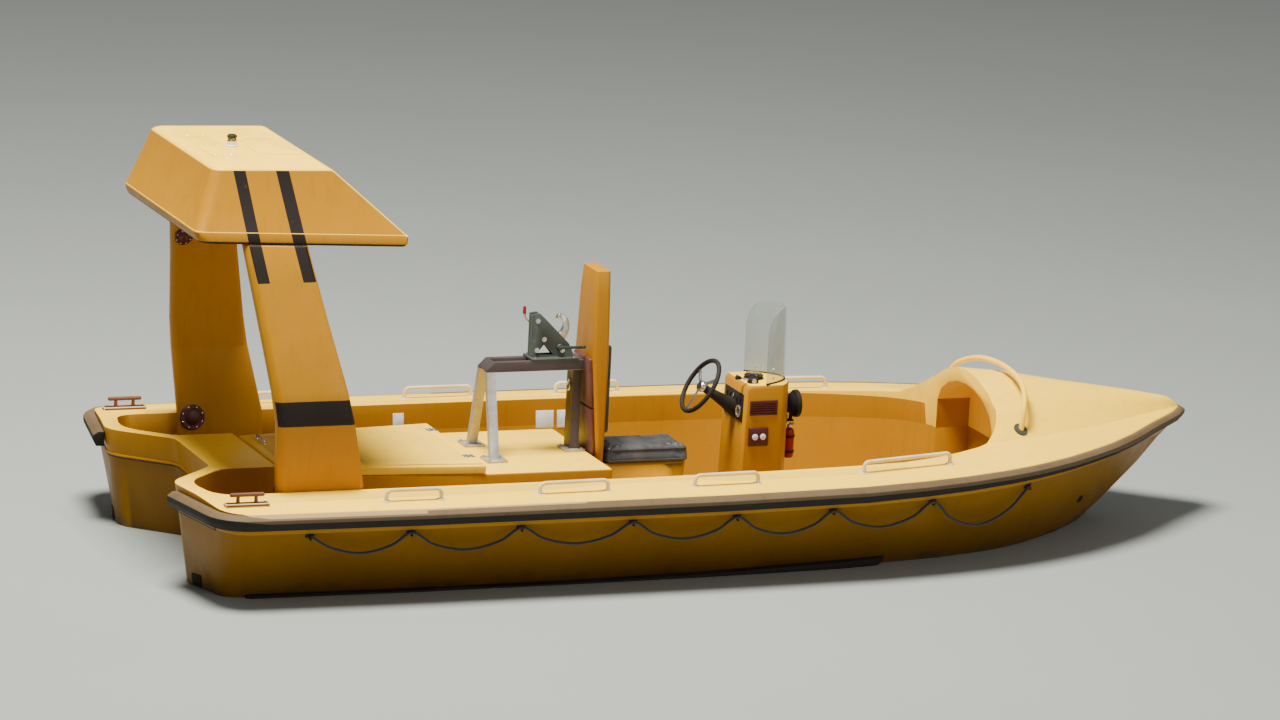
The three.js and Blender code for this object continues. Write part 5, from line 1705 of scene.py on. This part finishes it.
def make_cleats():
    """Twin-post mooring bars on the pods."""
    for label, _ in SIDES:
        node = f"stern_cleat_{label}"
        low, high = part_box(node)
        x, y = (low.x + high.x) / 2, (low.y + high.y) / 2
        top = high.z - 0.013
        bm = bmesh.new()
        foot = (x - 0.135, y - 0.028, low.z), (x + 0.135, y + 0.028, low.z + 0.022)
        add_box(bm, *foot, bevel=0.005, paint=1)
        for post in (-0.055, 0.055):
            add_rod(bm, (x + post, y, low.z + 0.015), (x + post, y, top), 0.012, 0.010, 18)
            add_bolt(bm, (x + post * 2.05, y, low.z + 0.022), UP, 0.008, 0.005)
        add_rod(bm, (x - 0.098, y, top), (x + 0.098, y, top), 0.0125, steps=20)
        for end in (-1, 1):
            add_rod(bm, (x + end * 0.096, y, top), (x + end * 0.105, y, top), 0.0128, 0.008, 20)
        keep(f"{node}_bar", bm, ("cleat", "rail"), replaces=node)


def make_bow_hoop():
    """The bent tube across the foredeck, on two dark flanges."""
    half = [(2.120, 0.588, 0.640), (2.148, 0.562, 0.820), (2.205, 0.400, 0.915), (2.240, 0, 0.960)]
    bm = bmesh.new()
    add_tube(bm, curve_through(half + [(x, -y, z) for x, y, z in half[-2::-1]], 10), 0.017, 18)
    for side in (1, -1):
        point, normal = on_top(2.122, side * 0.586)
        add_flange(bm, point, normal, 0.046, 0.008, 4, 1)
    # The tube takes the deck's pale colour: painted sky light.
    keep("bow_hoop_tube", bm, ("deck", "dark_metal"), replaces="bow_hoop")


def make_plates():
    """Blank plates inside the port bulwark, and a drain on each topside near the bow."""
    bm = bmesh.new()
    for x, z, half, tall, paint in (
        (-1.342, 0.500, 0.035, 0.045, 0), (-0.385, 0.475, 0.058, 0.055, 0), (-0.255, 0.475, 0.050, 0.055, 1),
    ):
        point, normal = touch("deck_moulding", (x, 0.5, z), (0, 1, 0))
        face = stand(point, normal, (1, 0, 0))
        add_box(bm, (-half, -tall, -0.002), (half, tall, 0.003), face, 0.001, paint=paint)
        for along in (-half + 0.008, half - 0.008):
            for up in (-tall + 0.008, tall - 0.008):
                add_dome(bm, face @ Vector((along, up, 0.003)), normal, 0.003, 0.0015, 2)
    keep("bulwark_plates", bm, ("white", "green", "stainless"))
    bm = bmesh.new()
    drain = [
        (0, -0.003), (0.026, -0.003), (0.026, 0.004), (0.020, 0.008), (0.014, 0.006), (0.013, 0.001), (0, 0),
    ]
    for side in (1, -1):
        point, normal = touch("hull", (2.57, side * 1.5, 0.23), (0, -side, 0))
        add_turned(bm, drain, stand(point, normal), 28)
    keep("topside_drains", bm, "black")


def make_transom():
    """Towing eyes and rubber outlet flaps on the stern."""
    bm = bmesh.new()
    loop = rounded_path([(0, -0.028, 0.003), (0, -0.028, 0.045), (0, 0.028, 0.045), (0, 0.028, 0.003)], 0.022)
    for side in (1, -1):
        point, normal = touch("hull", (-3.6, side * 0.20, 0.36), (1, 0, 0))
        face = stand(point, normal, (0, 1, 0))
        add_box(bm, (-0.030, -0.045, -0.002), (0.030, 0.045, 0.005), face, 0.003)
        add_tube(bm, [face @ spot for spot in loop], 0.006, 12)
        for across in (-0.02, 0.02):
            for up in (-0.036, 0.036):
                add_dome(bm, face @ Vector((across, up, 0.005)), normal, 0.004, 0.002)
    keep("transom_eyes", bm, "stainless")
    bm = bmesh.new()
    for side in (1, -1):
        point, normal = touch("hull", (-3.6, side * 0.825, 0.045), (1, 0, 0))
        face = stand(point, normal, (0, 1, 0))
        add_box(bm, (-0.046, -0.036, -0.004), (0.046, 0.036, 0.006), face, 0.004)
        add_box(bm, (-0.040, 0.026, 0.004), (0.040, 0.034, 0.011), face, 0.003)
    keep("outlet_flaps", bm, "black")


class LIFEBOAT_OT_fittings(bpy.types.Operator):
    """Fit the rails, cleats, bow hoop, plates and treads"""

    bl_idname = "lifeboat.fittings"
    bl_label = "Deck fittings"

    def execute(self, context):
        make_grab_rails()
        make_cleats()
        make_bow_hoop()
        make_plates()
        make_transom()
        make_treads()
        return {"FINISHED"}


# Stage


def photo_camera():
    """The photograph's camera, swung to its aim and with a longer lens."""
    right, up, back = (Vector(axis) for axis in CAMERA_AXES)
    turn = Matrix((right, up, back)).transposed()
    pixel = Vector((AIM_PIXEL[0] - PHOTO_SIZE[0] / 2, PHOTO_SIZE[1] / 2 - AIM_PIXEL[1], -PHOTO_FOCAL_PIXELS))
    aim = turn @ pixel.normalized()
    swing = (-back).rotation_difference(aim).to_matrix()
    data = bpy.data.cameras.new("Photo camera")
    data.sensor_width = SENSOR_WIDTH
    data.lens = PHOTO_FOCAL_PIXELS / PHOTO_SIZE[0] * SENSOR_WIDTH * CLOSER
    data.clip_end = 1000
    camera = new_object("Photo camera", data)
    camera.matrix_world = Matrix.Translation(CAMERA_PLACE) @ (swing @ turn).to_4x4()
    bpy.context.scene.camera = camera


def soft_panel(name, place, target, diameter, power):
    """A round area light that the camera doesn't see."""
    data = bpy.data.lights.new(name, "AREA")
    data.shape = "DISK"
    data.size = diameter
    data.energy = power
    data.color = PANEL_COLOUR
    light = new_object(name, data)
    light.matrix_world = stand(place, Vector(place) - Vector(target))
    light.visible_camera = False


def studio_world():
    world = bpy.data.worlds.new("Studio")
    world.use_nodes = True
    tree = world.node_tree
    tree.nodes.clear()
    sky = add_node(tree, "ShaderNodeBackground", {"Color": BACKDROP_COLOUR, "Strength": BACKDROP_STRENGTH})
    add_node(tree, "ShaderNodeOutputWorld", {"Surface": sky.outputs["Background"]})
    bpy.context.scene.world = world


def studio_floor():
    bm = bmesh.new()
    bmesh.ops.create_grid(bm, x_segments=1, y_segments=1, size=size_settings().floor_size / 2)
    mesh = bpy.data.meshes.new("Studio floor")
    bm.to_mesh(mesh)
    bm.free()
    material, tree, shader = blank_material("Pale floor", Roughness=0.7)
    cloud = noise_on(tree, place_on(tree), 0.3, 3)
    connect(tree, shader, Base_Color=mix_colours(tree, cloud, *FLOOR_TONES))
    mesh.materials.append(material)
    new_object("Studio floor", mesh)


class LIFEBOAT_OT_stage(bpy.types.Operator):
    """Set the floor at the waterline, the soft lights and the photograph's camera"""

    bl_idname = "lifeboat.stage"
    bl_label = "Stage"

    def execute(self, context):
        photo_camera()
        studio_world()
        studio_floor()
        for panel in PANELS:
            soft_panel(*panel)
        return {"FINISHED"}


class LIFEBOAT_PT_panel(bpy.types.Panel):
    """Lists the steps that dress the lifeboat"""

    bl_idname = "LIFEBOAT_PT_panel"
    bl_label = "Lifeboat"
    bl_space_type = "VIEW_3D"
    bl_region_type = "UI"
    bl_category = "Lifeboat"

    def draw(self, context):
        column = self.layout.column()
        for settings in (context.scene.lifeboat_finish, context.scene.lifeboat_sizes):
            for name in settings.__annotations__:
                column.prop(settings, name)
        for step in STEPS:
            column.operator(step.bl_idname)


STEPS = (
    LIFEBOAT_OT_stage,
    LIFEBOAT_OT_lifelines,
    LIFEBOAT_OT_mouldings,
    LIFEBOAT_OT_arch,
    LIFEBOAT_OT_machinery,
    LIFEBOAT_OT_seat,
    LIFEBOAT_OT_helm,
    LIFEBOAT_OT_fittings,
)
CLASSES = (LifeboatFinish, LifeboatSizes, *STEPS, LIFEBOAT_PT_panel)
FINISHES = {}


def register():
    for kind in CLASSES:
        bpy.utils.register_class(kind)
    bpy.types.Scene.lifeboat_finish = PointerProperty(type=LifeboatFinish)
    bpy.types.Scene.lifeboat_sizes = PointerProperty(type=LifeboatSizes)


def unregister():
    del bpy.types.Scene.lifeboat_sizes
    del bpy.types.Scene.lifeboat_finish
    for kind in reversed(CLASSES):
        bpy.utils.unregister_class(kind)


def main():
    register()
    FINISHES.update(make_finishes())
    for step in STEPS:
        area, action = step.bl_idname.split(".")
        getattr(getattr(bpy.ops, area), action)()


if __name__ == "__main__":
    main()
